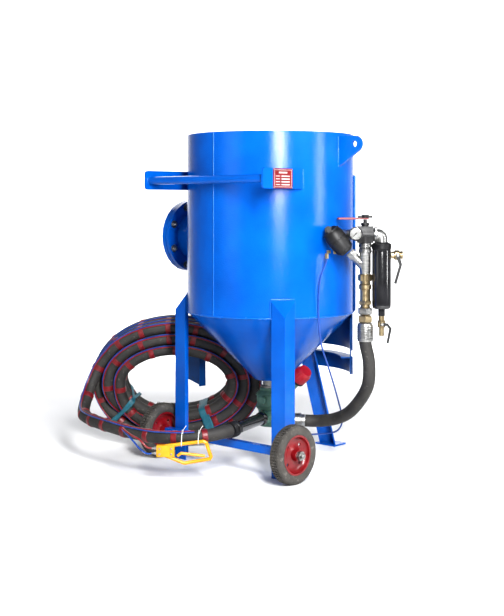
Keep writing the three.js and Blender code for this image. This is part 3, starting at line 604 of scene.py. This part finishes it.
def make_deadman_pieces():
    """Cast detail of the remote handle, its tube fittings and the two ties that hold it to the hose."""
    shape = Shape()
    for x, z in ((-488, 150), (-488, 126), (-436, 150), (-436, 126)):
        shape.turned([(0.0042, 0), (0.0046, 0.001), (0.0046, 0.003), (0.003, 0.0042)],
                     service(x, DEADMAN_Y - 13, z), FRONT, 14)
    for z in (150, 128):
        port = service(-501, DEADMAN_Y, z)
        shape.hexagon(0.0065, 0.0, 0.010, port, -ACROSS)
        shape.turned([(0.0042, 0.009), (0.0042, 0.021), (0.0034, 0.022)], port, -ACROSS, 14)
    fittings = shape.make("deadman_fittings", "steel")
    ties = Shape()
    for x in (-392, -318):
        held = (((-440, 189), 0.0315), ((DEADMAN_Y, 160 + (x + 462) * 0.12), 0.0100))
        loop = []
        for a in turns(48):
            way = Vector((math.cos(a), math.sin(a)))
            (y, z), r = max(held, key=lambda bar: way.dot(Vector(bar[0])) / 1000 + bar[1])
            loop.append(service(x, y + 1000 * r * way.x, z + 1000 * r * way.y))
        ties.tube(loop, 0.0019, 8, closed=True)
        tail = service(x + 4, DEADMAN_Y + 8, 212)
        ties.tube([tail, tail + Vector((0, 0, 0.016)) + service_way(0.6, 1, 0) * 0.006,
                   tail + Vector((0, 0, 0.034)) + service_way(1, 0.6, 0) * 0.018], 0.0013, 6)
    return [fittings, ties.make("deadman_ties", "white_plastic")]


def make_deadman_leads():
    """Short red and blue tubes from the hose's lines to the remote handle."""
    made = []
    for name, material, z, lift in (("deadman_lead_red", "tube_red", 150, 12),
                                    ("deadman_lead_blue", "tube_blue", 128, -4)):
        points = [(-523, DEADMAN_Y, z), (-545, DEADMAN_Y, z + lift * 0.4), (-580, -470, z + 24 + lift),
                  (-620, -432, 186 + lift), (-668, -372, 214 + lift * 0.3)]
        shape = Shape()
        shape.tube(smooth_path(route(points), 0.008), CONTROL_TUBE_R, 12)
        made.append(shape.make(name, material))
    return made


def make_cords():
    hose, extras = make_blast_hose()
    deadman = make_deadman_pieces()
    leads = make_deadman_leads()
    air = make_air_hose()
    tube = make_control_tube()


# -------------------- tank

def make_tank():
    base = Vector((AXIS_X, AXIS_Y, 0))
    shell = Shape()
    inner = TANK_R - WALL
    edge = 0.002
    shell.turned([
        (TANK_R, SEAM_Z), (TANK_R, SEAM_Z + 0.2), (TANK_R, 1.0), (TANK_R, 1.3), (TANK_R, RIM_Z - edge),
        (TANK_R - edge, RIM_Z), (inner + edge, RIM_Z), (inner, RIM_Z - edge), (inner, 1.3),
        (inner, 1.0), (inner, SEAM_Z),
    ], base, UP, 160, closed=True)
    shell.make("tank_shell_skin", "tank_paint", replaces=["tank_shell"])
    cone = Shape()
    slant = WALL * math.sqrt(2)
    cone.turned([
        (TANK_R, SEAM_Z - 0.0003), (0.30, 0.6099), (0.2, 0.5083), (CONE_FOOT_R, CONE_FOOT_Z),
        (OUTLET_BORE_R, CONE_FOOT_Z), (OUTLET_BORE_R, CONE_FOOT_Z + 0.012),
        (CONE_FOOT_R - slant, CONE_FOOT_Z + 0.012),
        (TANK_R - slant, SEAM_Z - 0.0003),
    ], base, UP, 160, closed=True)
    cone.make("tank_cone_skin", "tank_paint", replaces=["tank_cone"])
    head_low, head_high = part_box("top_head")
    head = Shape()
    rim_r = TANK_R - WALL - 0.0003
    port_z = head_low.z + WALL
    drop = head_high.z - port_z
    top = []
    for i in range(17):
        share = i / 16
        r = rim_r + (FILLER_PORT_R - rim_r) * share
        top.append((r, head_high.z - drop * math.sin(share * math.pi / 2)))
    under = [(r, z - WALL) for r, z in reversed(top)]
    head.turned([*top, *under], base, UP, 128, closed=True)
    head.make("top_head_skin", "tank_paint", replaces=["top_head"])


def weld_ring(beads, r, z, bead_r, seed):
    """A bead right round the tank."""
    line = [round_tank(3 * i, r, z) for i in range(120)]
    beads.tube(line, bead_r, 8, closed=True, wobble=0.35, seed=seed)


def weld_line(beads, start, end, steps, r, bead_r, seed, wobble=0.4):
    """A bead on the tank between two points, each an azimuth in degrees and a height."""
    line = []
    for i in range(steps + 1):
        azimuth, z = Vector(start).lerp(Vector(end), i / steps)
        line.append(round_tank(azimuth, r, z))
    beads.tube(line, bead_r, 8, wobble=wobble, seed=seed)


def upright_weld(beads, azimuth, span, steps, bead_r, seed):
    """A bead straight up the tank, over a span of heights."""
    weld_line(beads, (azimuth, span[0]), (azimuth, span[1]), steps, TANK_R + 0.001, bead_r, seed)


def make_welds():
    beads = Shape()
    weld_ring(beads, TANK_R + 0.0005, SEAM_Z, 0.0042, 3)
    weld_line(beads, (SEAM_AZIMUTH, SEAM_Z + 0.004), (SEAM_AZIMUTH, RIM_Z - 0.003), 160, TANK_R + 0.0002,
              0.0034, 7, wobble=0.3)
    weld_ring(beads, TANK_R - WALL - 0.001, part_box("top_head")[1].z, 0.004, 11)
    leg_spread = math.degrees(math.asin(0.053 / TANK_R)) + 0.4
    for azimuth in FRONT_LEG_AZIMUTHS:
        for side in (-1, 1):
            upright_weld(beads, azimuth + side * leg_spread, LEG_WELD_Z, 20, 0.0036, azimuth + side)
        weld_line(beads, (azimuth - 7.6, LEG_TOP_Z), (azimuth + 7.6, LEG_TOP_Z), 12, TANK_R + 0.001, 0.0040,
                  azimuth)
    lug_spread = math.degrees(0.0095 / TANK_R)
    for azimuth in LUG_AZIMUTHS:
        for side in (-1, 1):
            upright_weld(beads, azimuth + side * lug_spread, LUG_WELD_Z, 28, 0.0036, azimuth + side)
    ring = []
    for a in turns(90):
        y = NOZZLE_R * math.cos(a)
        depth = math.sqrt(TANK_R ** 2 - y ** 2)
        ring.append(Vector((AXIS_X - depth, AXIS_Y + y, NOZZLE_Z + NOZZLE_R * math.sin(a))))
    beads.tube(ring, 0.005, 8, closed=True, wobble=0.4, seed=21)
    for corner, following in zip(DOUBLER, DOUBLER[1:] + DOUBLER[:1]):
        weld_line(beads, corner, following, 70, TANK_R + 0.0035, 0.0038, sum(corner), wobble=0.35)
    for side in (1, -1):
        for z in (BRACKET_Z[0] + 0.0005, BRACKET_Z[1] - 0.0005):
            line = [Vector((AXIS_X + side * 0.354, AXIS_Y - 0.1865 - 0.003 * i / 4, z)) for i in range(5)]
            beads.tube(line, 0.0035, 8, wobble=0.4, seed=z)
        for offset in (-0.0065, 0.0065):
            edge = -90 + side * (62.1 + math.degrees(offset / TANK_R) * 1.5)
            weld_line(beads, (edge, BRACKET_Z[0]), (edge, BRACKET_Z[1]), 20, TANK_R + 0.0012, 0.0034,
                      offset)
    beads.make("weld_beads", "weld_paint", angle=80)


def make_handhole():
    """Bolt heads, nuts and shanks round the blank cover."""
    bolts = Shape()
    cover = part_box("handhole_cover")
    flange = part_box("handhole_nozzle")
    centre = Vector((0, AXIS_Y, (cover[0].z + cover[1].z) / 2))
    pitch_r = 0.157
    for i, a in enumerate(turns(8, 0.5)):
        seat = centre + Vector((0, pitch_r * math.cos(a), pitch_r * math.sin(a)))
        bolt(bolts, seat + X_WAY * (cover[0].x + 0.0005), -X_WAY, 0.0125, 0.3 * i)
        bolt(bolts, seat + X_WAY * (flange[0].x + 0.0205), X_WAY, 0.0125, 0.2 * i)
        bolts.turned([(0.0075, 0), (0.0075, cover[1].x - cover[0].x + 0.026)],
                     seat + X_WAY * (cover[0].x + 0.001), X_WAY, 14)
    bolts.make("handhole_bolts", "steel")


def make_handle_detail():
    """The pull handle's smooth tube and the weld at each of its ends."""
    low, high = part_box("handle_tube")
    length = high.x - low.x
    start = Vector((low.x, (low.y + high.y) / 2, (low.z + high.z) / 2))
    rings = Shape()
    for x in (low.x + 0.0015, high.x - 0.0015):
        circle = []
        for a in turns(40):
            circle.append(Vector((x, start.y + 0.0195 * math.cos(a), start.z + 0.0195 * math.sin(a))))
        rings.tube(circle, 0.003, 8, closed=True, wobble=0.4, seed=x)
    rings.make("handle_welds", "weld_paint", angle=80)
    skin = Shape()
    skin.turned([(0.017, 0), (0.0188, 0.001), (0.0188, length - 0.001), (0.017, length)],
                start, X_WAY, 48)
    skin.make("handle_tube_skin", "tank_paint", replaces=["handle_tube"])


def name_plate_frame():
    """The origin and directions of the name plate's outer face."""
    low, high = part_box("name_plate")
    root = Vector((AXIS_X + 0.354, AXIS_Y - 0.186, 0))
    tip = Vector((AXIS_X + 0.375, AXIS_Y - 0.471, 0))
    along = (root - tip).normalized()
    out = Vector((along.y, -along.x, 0))
    return (low + high) / 2 + out * 0.0014, along, out


def make_name_plate():
    """A generic plate: a white border, white bars in place of lettering, and a rivet in each corner."""
    face, along, out = name_plate_frame()
    marks = Shape()
    half_w, half_h = 0.062, 0.038
    line = 0.0014

    def bar(x0, x1, z0, z1):
        marks.slab([(x0, z0), (x1, z0), (x1, z1), (x0, z1)], face, along, UP, 0.0004)

    bar(-half_w, half_w, half_h - line, half_h)
    bar(-half_w, half_w, -half_h, -half_h + line)
    bar(-half_w, -half_w + line, -half_h + line, half_h - line)
    bar(half_w - line, half_w, -half_h + line, half_h - line)
    bar(-0.030, 0.030, 0.0225, 0.0285)
    for row in range(4):
        z = 0.010 - 0.0125 * row
        bar(-0.052, -0.024, z - 0.0013, z + 0.0013)
        bar(-0.012, 0.048, z - 0.0022, z + 0.0022)
    marks.make("name_plate_marks", "white_plastic")
    rivets = Shape()
    for x in (-0.0655, 0.0655):
        for z in (-0.0405, 0.0405):
            rivets.turned([(0.0032, 0), (0.0030, 0.001), (0.0018, 0.0021), (0.0006, 0.0024)],
                          face + along * x + UP * z, out, 16)
    rivets.make("name_plate_rivets", "steel")


# -------------------- wheels and nuts

def sign_of(value):
    return 1 if value > 0 else -1


def mirrored(half):
    """The other half of a profile that is the same on both sides of the wheel's middle."""
    return [(r, -z) for r, z in reversed(half)]


def make_axle_ends():
    """Bright turned ends on the axle stubs, where they come through the nuts."""
    low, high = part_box("axle_beam")
    middle = (low + high) / 2
    ends = Shape()
    for x, way in ((low.x, -X_WAY), (high.x, X_WAY)):
        ends.turned([(0.0122, -0.0165), (0.0122, 0.0004), (0.0108, 0.0016)],
                    Vector((x, middle.y, middle.z)), way, 32)
    ends.make("axle_stub_ends", "steel")


def make_tyre(side, centre, way, r, half):
    """The tyre's smooth carcass, with three grooves round its crown."""
    crown = r - CROWN_DROP
    shoulder = [
        (TYRE_SEAT_R, -half + 0.006), (TYRE_SEAT_R + 0.006, -half + 0.0022),
        (TYRE_SEAT_R + 0.013, -half + 0.001),
        (r - 0.026, -half), (r - 0.016, -half + 0.001), (r - 0.008, -half + 0.004),
        (crown - 0.002, -half + 0.009), (crown - 0.0005, -half + 0.014), (crown, -half + 0.018),
    ]
    grooves = []
    for z in (-0.012, 0.0, 0.012):
        grooves += [(crown, z - 0.003), (crown - 0.004, z - 0.0018), (crown - 0.004, z + 0.0018),
                    (crown, z + 0.003)]
    tyre = Shape()
    tyre.turned([*shoulder, *grooves, *mirrored(shoulder)], centre, way, 120, closed=True)
    tyre.make(f"tyre_{side}_rubber", "tyre_rubber", f"wheel_{side}", [f"tyre_{side}"],
              angle=28)


def make_tyre_lugs(side, centre, way, r, half):
    """Tread blocks: one across the crown and one on each shoulder, all round the tyre."""
    blocks = Shape()
    shoulder_block = [(-0.0026, -0.0075), (0.0026, -0.0075), (0.0020, 0.0065), (-0.0020, 0.0065)]
    length = 2 * half - 0.032
    crown_block = [(0, -0.0028), (length, -0.0028), (length, 0.0028), (0, 0.0028)]
    for a in turns(LUG_COUNT):
        spoke = Vector((0, math.cos(a), math.sin(a)))
        tangent = Vector((0, -math.sin(a), math.cos(a)))
        for edge in (-1, 1):
            at = centre + way * edge * (half - 0.0085) + spoke * (r - 0.0095)
            slope = (way * edge * 0.72 + spoke * 0.69).normalized()
            flat = tangent.cross(slope).normalized()
            blocks.slab(shoulder_block, at, tangent, flat, 0.0034 * sign_of(tangent.cross(flat).dot(slope)))
        tread = centre - way * (half - 0.016) + spoke * (r - 0.0036)
        blocks.slab(crown_block, tread, way, tangent, 0.0034 * sign_of(way.cross(tangent).dot(spoke)))
    blocks.make(f"tyre_{side}_lugs", "tyre_rubber", f"wheel_{side}")


def make_rim(side, centre, way):
    """The pressed disc and hub, with round holes cut through."""
    rim = Shape()
    rim.turned([*RIM_HALF, *mirrored(RIM_HALF)], centre, way, 96, closed=True)
    wheel = rim.make(f"wheel_{side}_disc", "red_paint", f"wheel_{side}", [f"wheel_rim_{side}"],
                     angle=40)
    cutter = Shape()
    for a in turns(RIM_HOLES, 0.5):
        at = centre + Vector((0, 0.056 * math.cos(a), 0.056 * math.sin(a)))
        cutter.turned([(0.0075, -0.02), (0.0075, 0.02)], at, way, 28)
    apply_cut(wheel, cutter.make(f"wheel_{side}_cutter", "red_paint", f"wheel_{side}"))


def make_wheels():
    for side, sign in (("right", 1), ("left", -1)):
        low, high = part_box(f"tyre_{side}")
        centre = (low + high) / 2
        way = X_WAY * sign
        r = (high.z - low.z) / 2
        half = (high.x - low.x) / 2
        make_tyre(side, centre, way, r, half)
        make_tyre_lugs(side, centre, way, r, half)
        make_rim(side, centre, way)


def apply_cut(piece, tool):
    """Cuts the tool out of the piece, then removes the tool."""
    change = piece.modifiers.new("cut", "BOOLEAN")
    change.operation = "DIFFERENCE"
    change.solver = "EXACT"
    change.object = tool
    bpy.context.view_layer.update()
    graph = bpy.context.evaluated_depsgraph_get()
    result = bpy.data.meshes.new_from_object(piece.evaluated_get(graph))
    piece.modifiers.clear()
    piece.data = result
    result.shade_smooth()
    result.set_sharp_from_angle(angle=math.radians(35))
    bpy.data.objects.remove(tool)


# -------------------- metering valve

def make_valve_detail():
    """Bolts, cast rings, adjuster and the ribbed cap of the metering valve."""
    axis = Vector((AXIS_X, AXIS_Y, 0))
    metal = Shape()
    for i, a in enumerate(turns(6, 0.5)):
        at = axis + Vector((0.0555 * math.cos(a), 0.0555 * math.sin(a), 0.2365))
        bolt(metal, at, -UP, 0.0052, 0.4 * i)
    tilt = math.radians(40)
    way = Vector((math.cos(tilt), 0, math.sin(tilt)))
    start = axis + Vector((0.030, 0, 0.281))
    side_a, side_b = Vector((0, 1, 0)), way.cross(Vector((0, 1, 0)))
    for i, a in enumerate(turns(4, 0.5)):
        offset = (side_a * math.cos(a) + side_b * math.sin(a)) * 0.0285
        metal.hexagon(0.0045, 0.0, 0.005, start + offset + way * 0.0795, way, 0.5 * i)
    metal.make("valve_screws", "steel")
    cast = Shape()
    for z in (0.252, 0.310):
        cast.turned([(0.0655, z - 0.004), (0.0700, z - 0.003), (0.0710, z), (0.0700, z + 0.003),
                     (0.0655, z + 0.004)], axis, UP, 56)
    cast.turned([(0.036, 0.060), (0.0395, 0.062), (0.0395, 0.072), (0.036, 0.074)], start, way, 44)
    cast.make("valve_cast_rings", "valve_green")
    band = Shape()
    band.turned([(0.0352, 0.1795), (0.0395, 0.1800), (0.0400, 0.1835), (0.0395, 0.1905), (0.0352, 0.1915)],
                start, way, 44)
    band.make("actuator_band", "black_metal")
    ribs = Shape()
    for a in turns(18):
        spoke = side_a * math.cos(a) + side_b * math.sin(a)
        base = start + way * 0.206 + spoke * 0.0385
        ribs.tube([base, base + way * 0.030 - spoke * 0.0006], 0.0016, 6)
    ribs.make("actuator_cap_ribs", "cap_red")
    knob = Shape()
    knob_way = service_way(-0.55, -1, 0.1)
    at = axis + Vector((0, 0, 0.285)) + knob_way * 0.062
    knob.turned([(0.010, 0), (0.010, 0.012), (0.017, 0.014), (0.018, 0.018), (0.018, 0.028),
                 (0.015, 0.031)], at, knob_way, 24)
    knob.make("valve_adjuster", "valve_green")


def make_line_detail():
    """Claws on the outlet coupling, and rings on it, on the inlet coupling and on the hose ferrule."""
    way = (service(-183, -373, 0) - Vector((AXIS_X, AXIS_Y, 0))).normalized()
    centre = Vector((AXIS_X, AXIS_Y, 0.207))
    claws = Shape()
    side = way.cross(UP)
    for sign in (1, -1):
        lug = [(-0.010, -0.016), (0.014, -0.016), (0.018, -0.004), (0.014, 0.012), (-0.010, 0.014)]
        origin = centre + way * 0.372 + side * sign * 0.030
        claws.slab(lug, origin, way, UP * sign, 0.009)
    claws.collar(0.396, 0.0335, 0.0365, 0.004, 0.003, centre, way, 44)
    claws.collar(0.405, 0.0335, 0.0365, 0.003, 0.002, centre, way, 44)
    claws.make("outlet_coupling_claws", "black_metal", bevel=0.0012)
    rings = Shape()
    inlet = service(0, 0, 182)
    for x in (0.118, 0.126, 0.134, 0.142):
        rings.collar(x, 0.0358, 0.0376, 0.0025, 0.001, inlet, ACROSS, 44)
    pitch = (FERRULE_Z[1] - FERRULE_Z[0]) / FERRULE_RINGS
    for i in range(FERRULE_RINGS):
        z = FERRULE_Z[0] + pitch * (i + 0.5)
        rings.collar(z, 0.0347, 0.0374, pitch * 0.32, pitch * 0.2, service(*AIR_DROP, 0), UP, 40)
    rings.make("ferrule_rings", "steel")


# -------------------- air line

def make_air_line_detail():
    """Nuts, unions, rings and caps along the air line, and the main lever's red sleeve."""
    drop = service(*AIR_DROP, 0)
    separator = service(*SEPARATOR, 0)
    nuts = Shape()
    nuts.hexagon(0.0296, 0.686, 0.715, drop, UP, 0.2)
    nuts.hexagon(0.0292, 0.8745, 0.9035, drop, UP, 0.5)
    nuts.hexagon(0.0278, 0.766, 0.784, drop, UP, 0.1)
    nuts.make("line_nuts", "brass")
    steel = Shape()
    steel.hexagon(0.0300, 0.7215, 0.7505, drop, UP, 0.3)
    for z in (1.009, 1.033):
        steel.collar(z, 0.0292, 0.0305, 0.006, 0.0045, drop, UP, 48)
    branch_way = service_way(-0.679, 0, 0.734)
    for middle in (0.07125, 0.09775):
        steel.collar(middle, 0.0200, 0.0245, 0.00225, 0.00125, service(*AIR_DROP, 930), branch_way, 40)
    steel.hexagon(0.0335, 0.0, 0.012, service(475.5, -285, 1085), ACROSS, 0.1)
    steel.make("line_unions", "steel")
    black = Shape()
    black.turned([(0.0262, -0.004), (0.0262, 0.0008), (0.0275, 0.0022), (0.0300, 0.0018), (0.0312, -0.001),
                  (0.0312, -0.008), (0.0304, -0.0085)], service(*GAUGE), FRONT, 64, closed=True)
    black.turned([(0.0100, 1.128), (0.0195, 1.129), (0.0205, 1.1335), (0.0195, 1.138), (0.0100, 1.139)],
                 drop, UP, 36)
    for z in (1.024, 1.031, 1.038):
        black.collar(z, 0.0442, 0.0455, 0.0022, 0.001, separator, UP, 64)
    wings = [(-0.030, -0.010), (0.030, -0.010), (0.034, 0.0), (0.030, 0.010), (-0.030, 0.010),
             (-0.034, 0.0)]
    black.slab(wings, service(*AIR_DROP, 1161.8), ACROSS, -FRONT, 0.010)
    black.turned([(0.017, 1.1618), (0.018, 1.164), (0.018, 1.173), (0.015, 1.176)], drop, UP, 36)
    black.make("gauge_bezel_and_rings", "black_metal")
    bowl = Shape()
    bowl.turned([(0.016, 0.7145), (0.016, 0.742), (0.032, 0.7452), (0.040, 0.749), (0.0432, 0.757),
                 (0.0435, 0.765), (0.0435, 1.006), (0.0428, 1.012), (0.0435, 1.018), (0.042, 1.0198)],
                separator, UP, 72)
    bowl.make("separator_bowl_skin", "gloss_black", replaces=["separator_bowl"])
    nut = Shape()
    nut.turned([(0.0085, 0.0), (0.0085, 0.0060), (0.0060, 0.0075)], service(577.5, -322.5, 992), FRONT, 6)
    nut.turned([(0.0075, 0.0), (0.0075, 0.0055), (0.0055, 0.007)], service(508, -314.8, 677), FRONT, 6)
    nut.make("lever_nuts", "steel")
    grip = Shape()
    sleeve = [(0.034, -0.0125), (0.122, -0.0125), (0.127, -0.008), (0.127, 0.008), (0.122, 0.0125),
              (0.034, 0.0125)]
    grip.slab(sleeve, service(*AIR_DROP, 1163.75), -ACROSS, -FRONT, 0.0095)
    grip.make("main_lever_sleeve", "red_paint", "main_lever_body", bevel=0.0015)


def make_gauge():
    """The dial, its ticks and the glass. Numbers are left out."""
    centre = service(*GAUGE)
    dial = Shape()
    dial.turned([(0.0004, -0.0038), (0.0262, -0.0038), (0.0262, -0.0034), (0.0004, -0.0034)],
                centre, FRONT, 64)
    dial.make("gauge_dial", "white_plastic")
    ticks = Shape()
    for i in range(31):
        a = math.radians(225 - 9 * i)
        spoke = ACROSS * math.cos(a) + UP * math.sin(a)
        tangent = FRONT.cross(spoke)
        length, half = (0.0052, 0.00055) if i % 5 == 0 else (0.0030, 0.0003)
        outline = [(-half, 0), (half, 0), (half, length), (-half, length)]
        origin = centre + spoke * (0.0245 - length) - FRONT * 0.0033
        if tangent.cross(spoke).dot(FRONT) < 0:
            tangent = -tangent
        ticks.slab(outline, origin, tangent, spoke, 0.0002)
    ticks.turned([(0.0030, -0.0032), (0.0030, -0.0006), (0.0022, -0.0002)], centre, FRONT, 20)
    ticks.make("gauge_ticks", "ink")
    make_glass_material()
    glass = Shape()
    glass.turned([(0.0263, -0.0002), (0.0263, 0.0004), (0.018, 0.0010), (0.008, 0.0013), (0.0004, 0.0014)],
                 centre, FRONT, 64)
    glass.make("gauge_glass", "gauge_glass")


def make_control_valve_detail():
    """Rings, screws and tube fittings on the black air control valve."""
    way = service_way(-0.62, 0, 0.78)
    centre = service(303, -364, 1062)
    rings = Shape()
    for at, r in ((-0.056, 0.0385), (0.0, 0.0478), (0.050, 0.0415)):
        rings.collar(at, r - 0.003, r, 0.0035, 0.0022, centre, way, 56)
    rings.make("control_valve_rings", "black_metal")
    screws = Shape()
    other = way.cross(FRONT)
    for i, a in enumerate(turns(6, 0.5)):
        spoke = FRONT * math.cos(a) + other * math.sin(a)
        screws.hexagon(0.0042, 0.0, 0.005, centre + spoke * 0.0395 + way * 0.0035, way, 0.4 * i)
    screws.make("control_valve_screws", "steel")
    brass = Shape()
    for x, z in ((262, 1003), (292, 1000)):
        brass.hexagon(0.0085, 0.0, 0.014, service(x, -362, z), UP, 0.3)
    brass.make("control_valve_fittings", "brass")


# -------------------- carried-over CAD nodes

def finish_cad_nodes():
    """Gives every shown CAD node its slot's finish, and smooth round faces split at its sharp edges."""
    slot_of = {row["node"]: row["material_slot"] for row in frame["record"]["subparts"]}
    for name, node in frame["nodes"].items():
        if node.hide_render:
            continue
        node.data.materials.clear()
        node.data.materials.append(MATERIALS[slot_of[name]])
        if "custom_normal" in node.data.attributes:
            node.data.attributes.remove(node.data.attributes["custom_normal"])
        for face in node.data.polygons:
            face.use_smooth = True
        weld = node.modifiers.new("weld", "WELD")
        weld.merge_threshold = 0.00002
        split = node.modifiers.new("split", "EDGE_SPLIT")
        split.split_angle = math.radians(32)


# -------------------- floor and light

def make_floor():
    mesh = bpy.data.meshes.new("floor")
    verts = []
    for i in range(FLOOR_ROWS + 1):
        if i < FLAT_ROWS:
            y, z = -FLOOR_HALF + i * FLOOR_STEP, 0.0
        else:
            a = (i - FLAT_ROWS) / (FLOOR_ROWS - FLAT_ROWS) * math.pi / 2
            y, z = SWEEP_START + SWEEP_R * math.sin(a), SWEEP_R * (1 - math.cos(a))
        for x in (-FLOOR_HALF, FLOOR_HALF):
            verts.append(Matrix.Rotation(SERVICE_TURN, 3, "Z") @ Vector((x, y, z - 0.0005)))
    faces = [(2 * i, 2 * i + 1, 2 * i + 3, 2 * i + 2) for i in range(FLOOR_ROWS)]
    mesh.from_pydata(verts, [], faces)
    mesh.shade_smooth()
    mesh.materials.append(MATERIALS["floor"])
    floor = add_object("floor", mesh)


def area_light(name, place, size, power, aim):
    data = bpy.data.lights.new(name, "AREA")
    data.shape = "RECTANGLE"
    data.size, data.size_y = size
    data.energy = power
    light = add_object(name, data)
    light.location = service(*place)
    light.rotation_euler = (light.location - service(*aim)).to_track_quat("Z", "Y").to_euler()


def make_light():
    world = bpy.data.worlds.new("studio")
    bpy.context.scene.world = world
    world.use_nodes = True
    sky = world.node_tree.nodes["Background"]
    sky.inputs["Color"].default_value = SKY_COLOUR
    sky.inputs["Strength"].default_value = SKY_STRENGTH
    for light in LIGHTS:
        area_light(*light)
    bpy.context.scene.view_settings.view_transform = "Standard"
    bpy.context.scene.view_settings.look = "Medium High Contrast"


random.seed(4)
make_camera()
make_cords()
make_tank()
make_welds()
make_handhole()
make_handle_detail()
make_name_plate()
make_wheels()
make_axle_ends()
make_valve_detail()
make_line_detail()
make_air_line_detail()
make_gauge()
make_control_valve_detail()
finish_cad_nodes()
make_floor()
make_light()
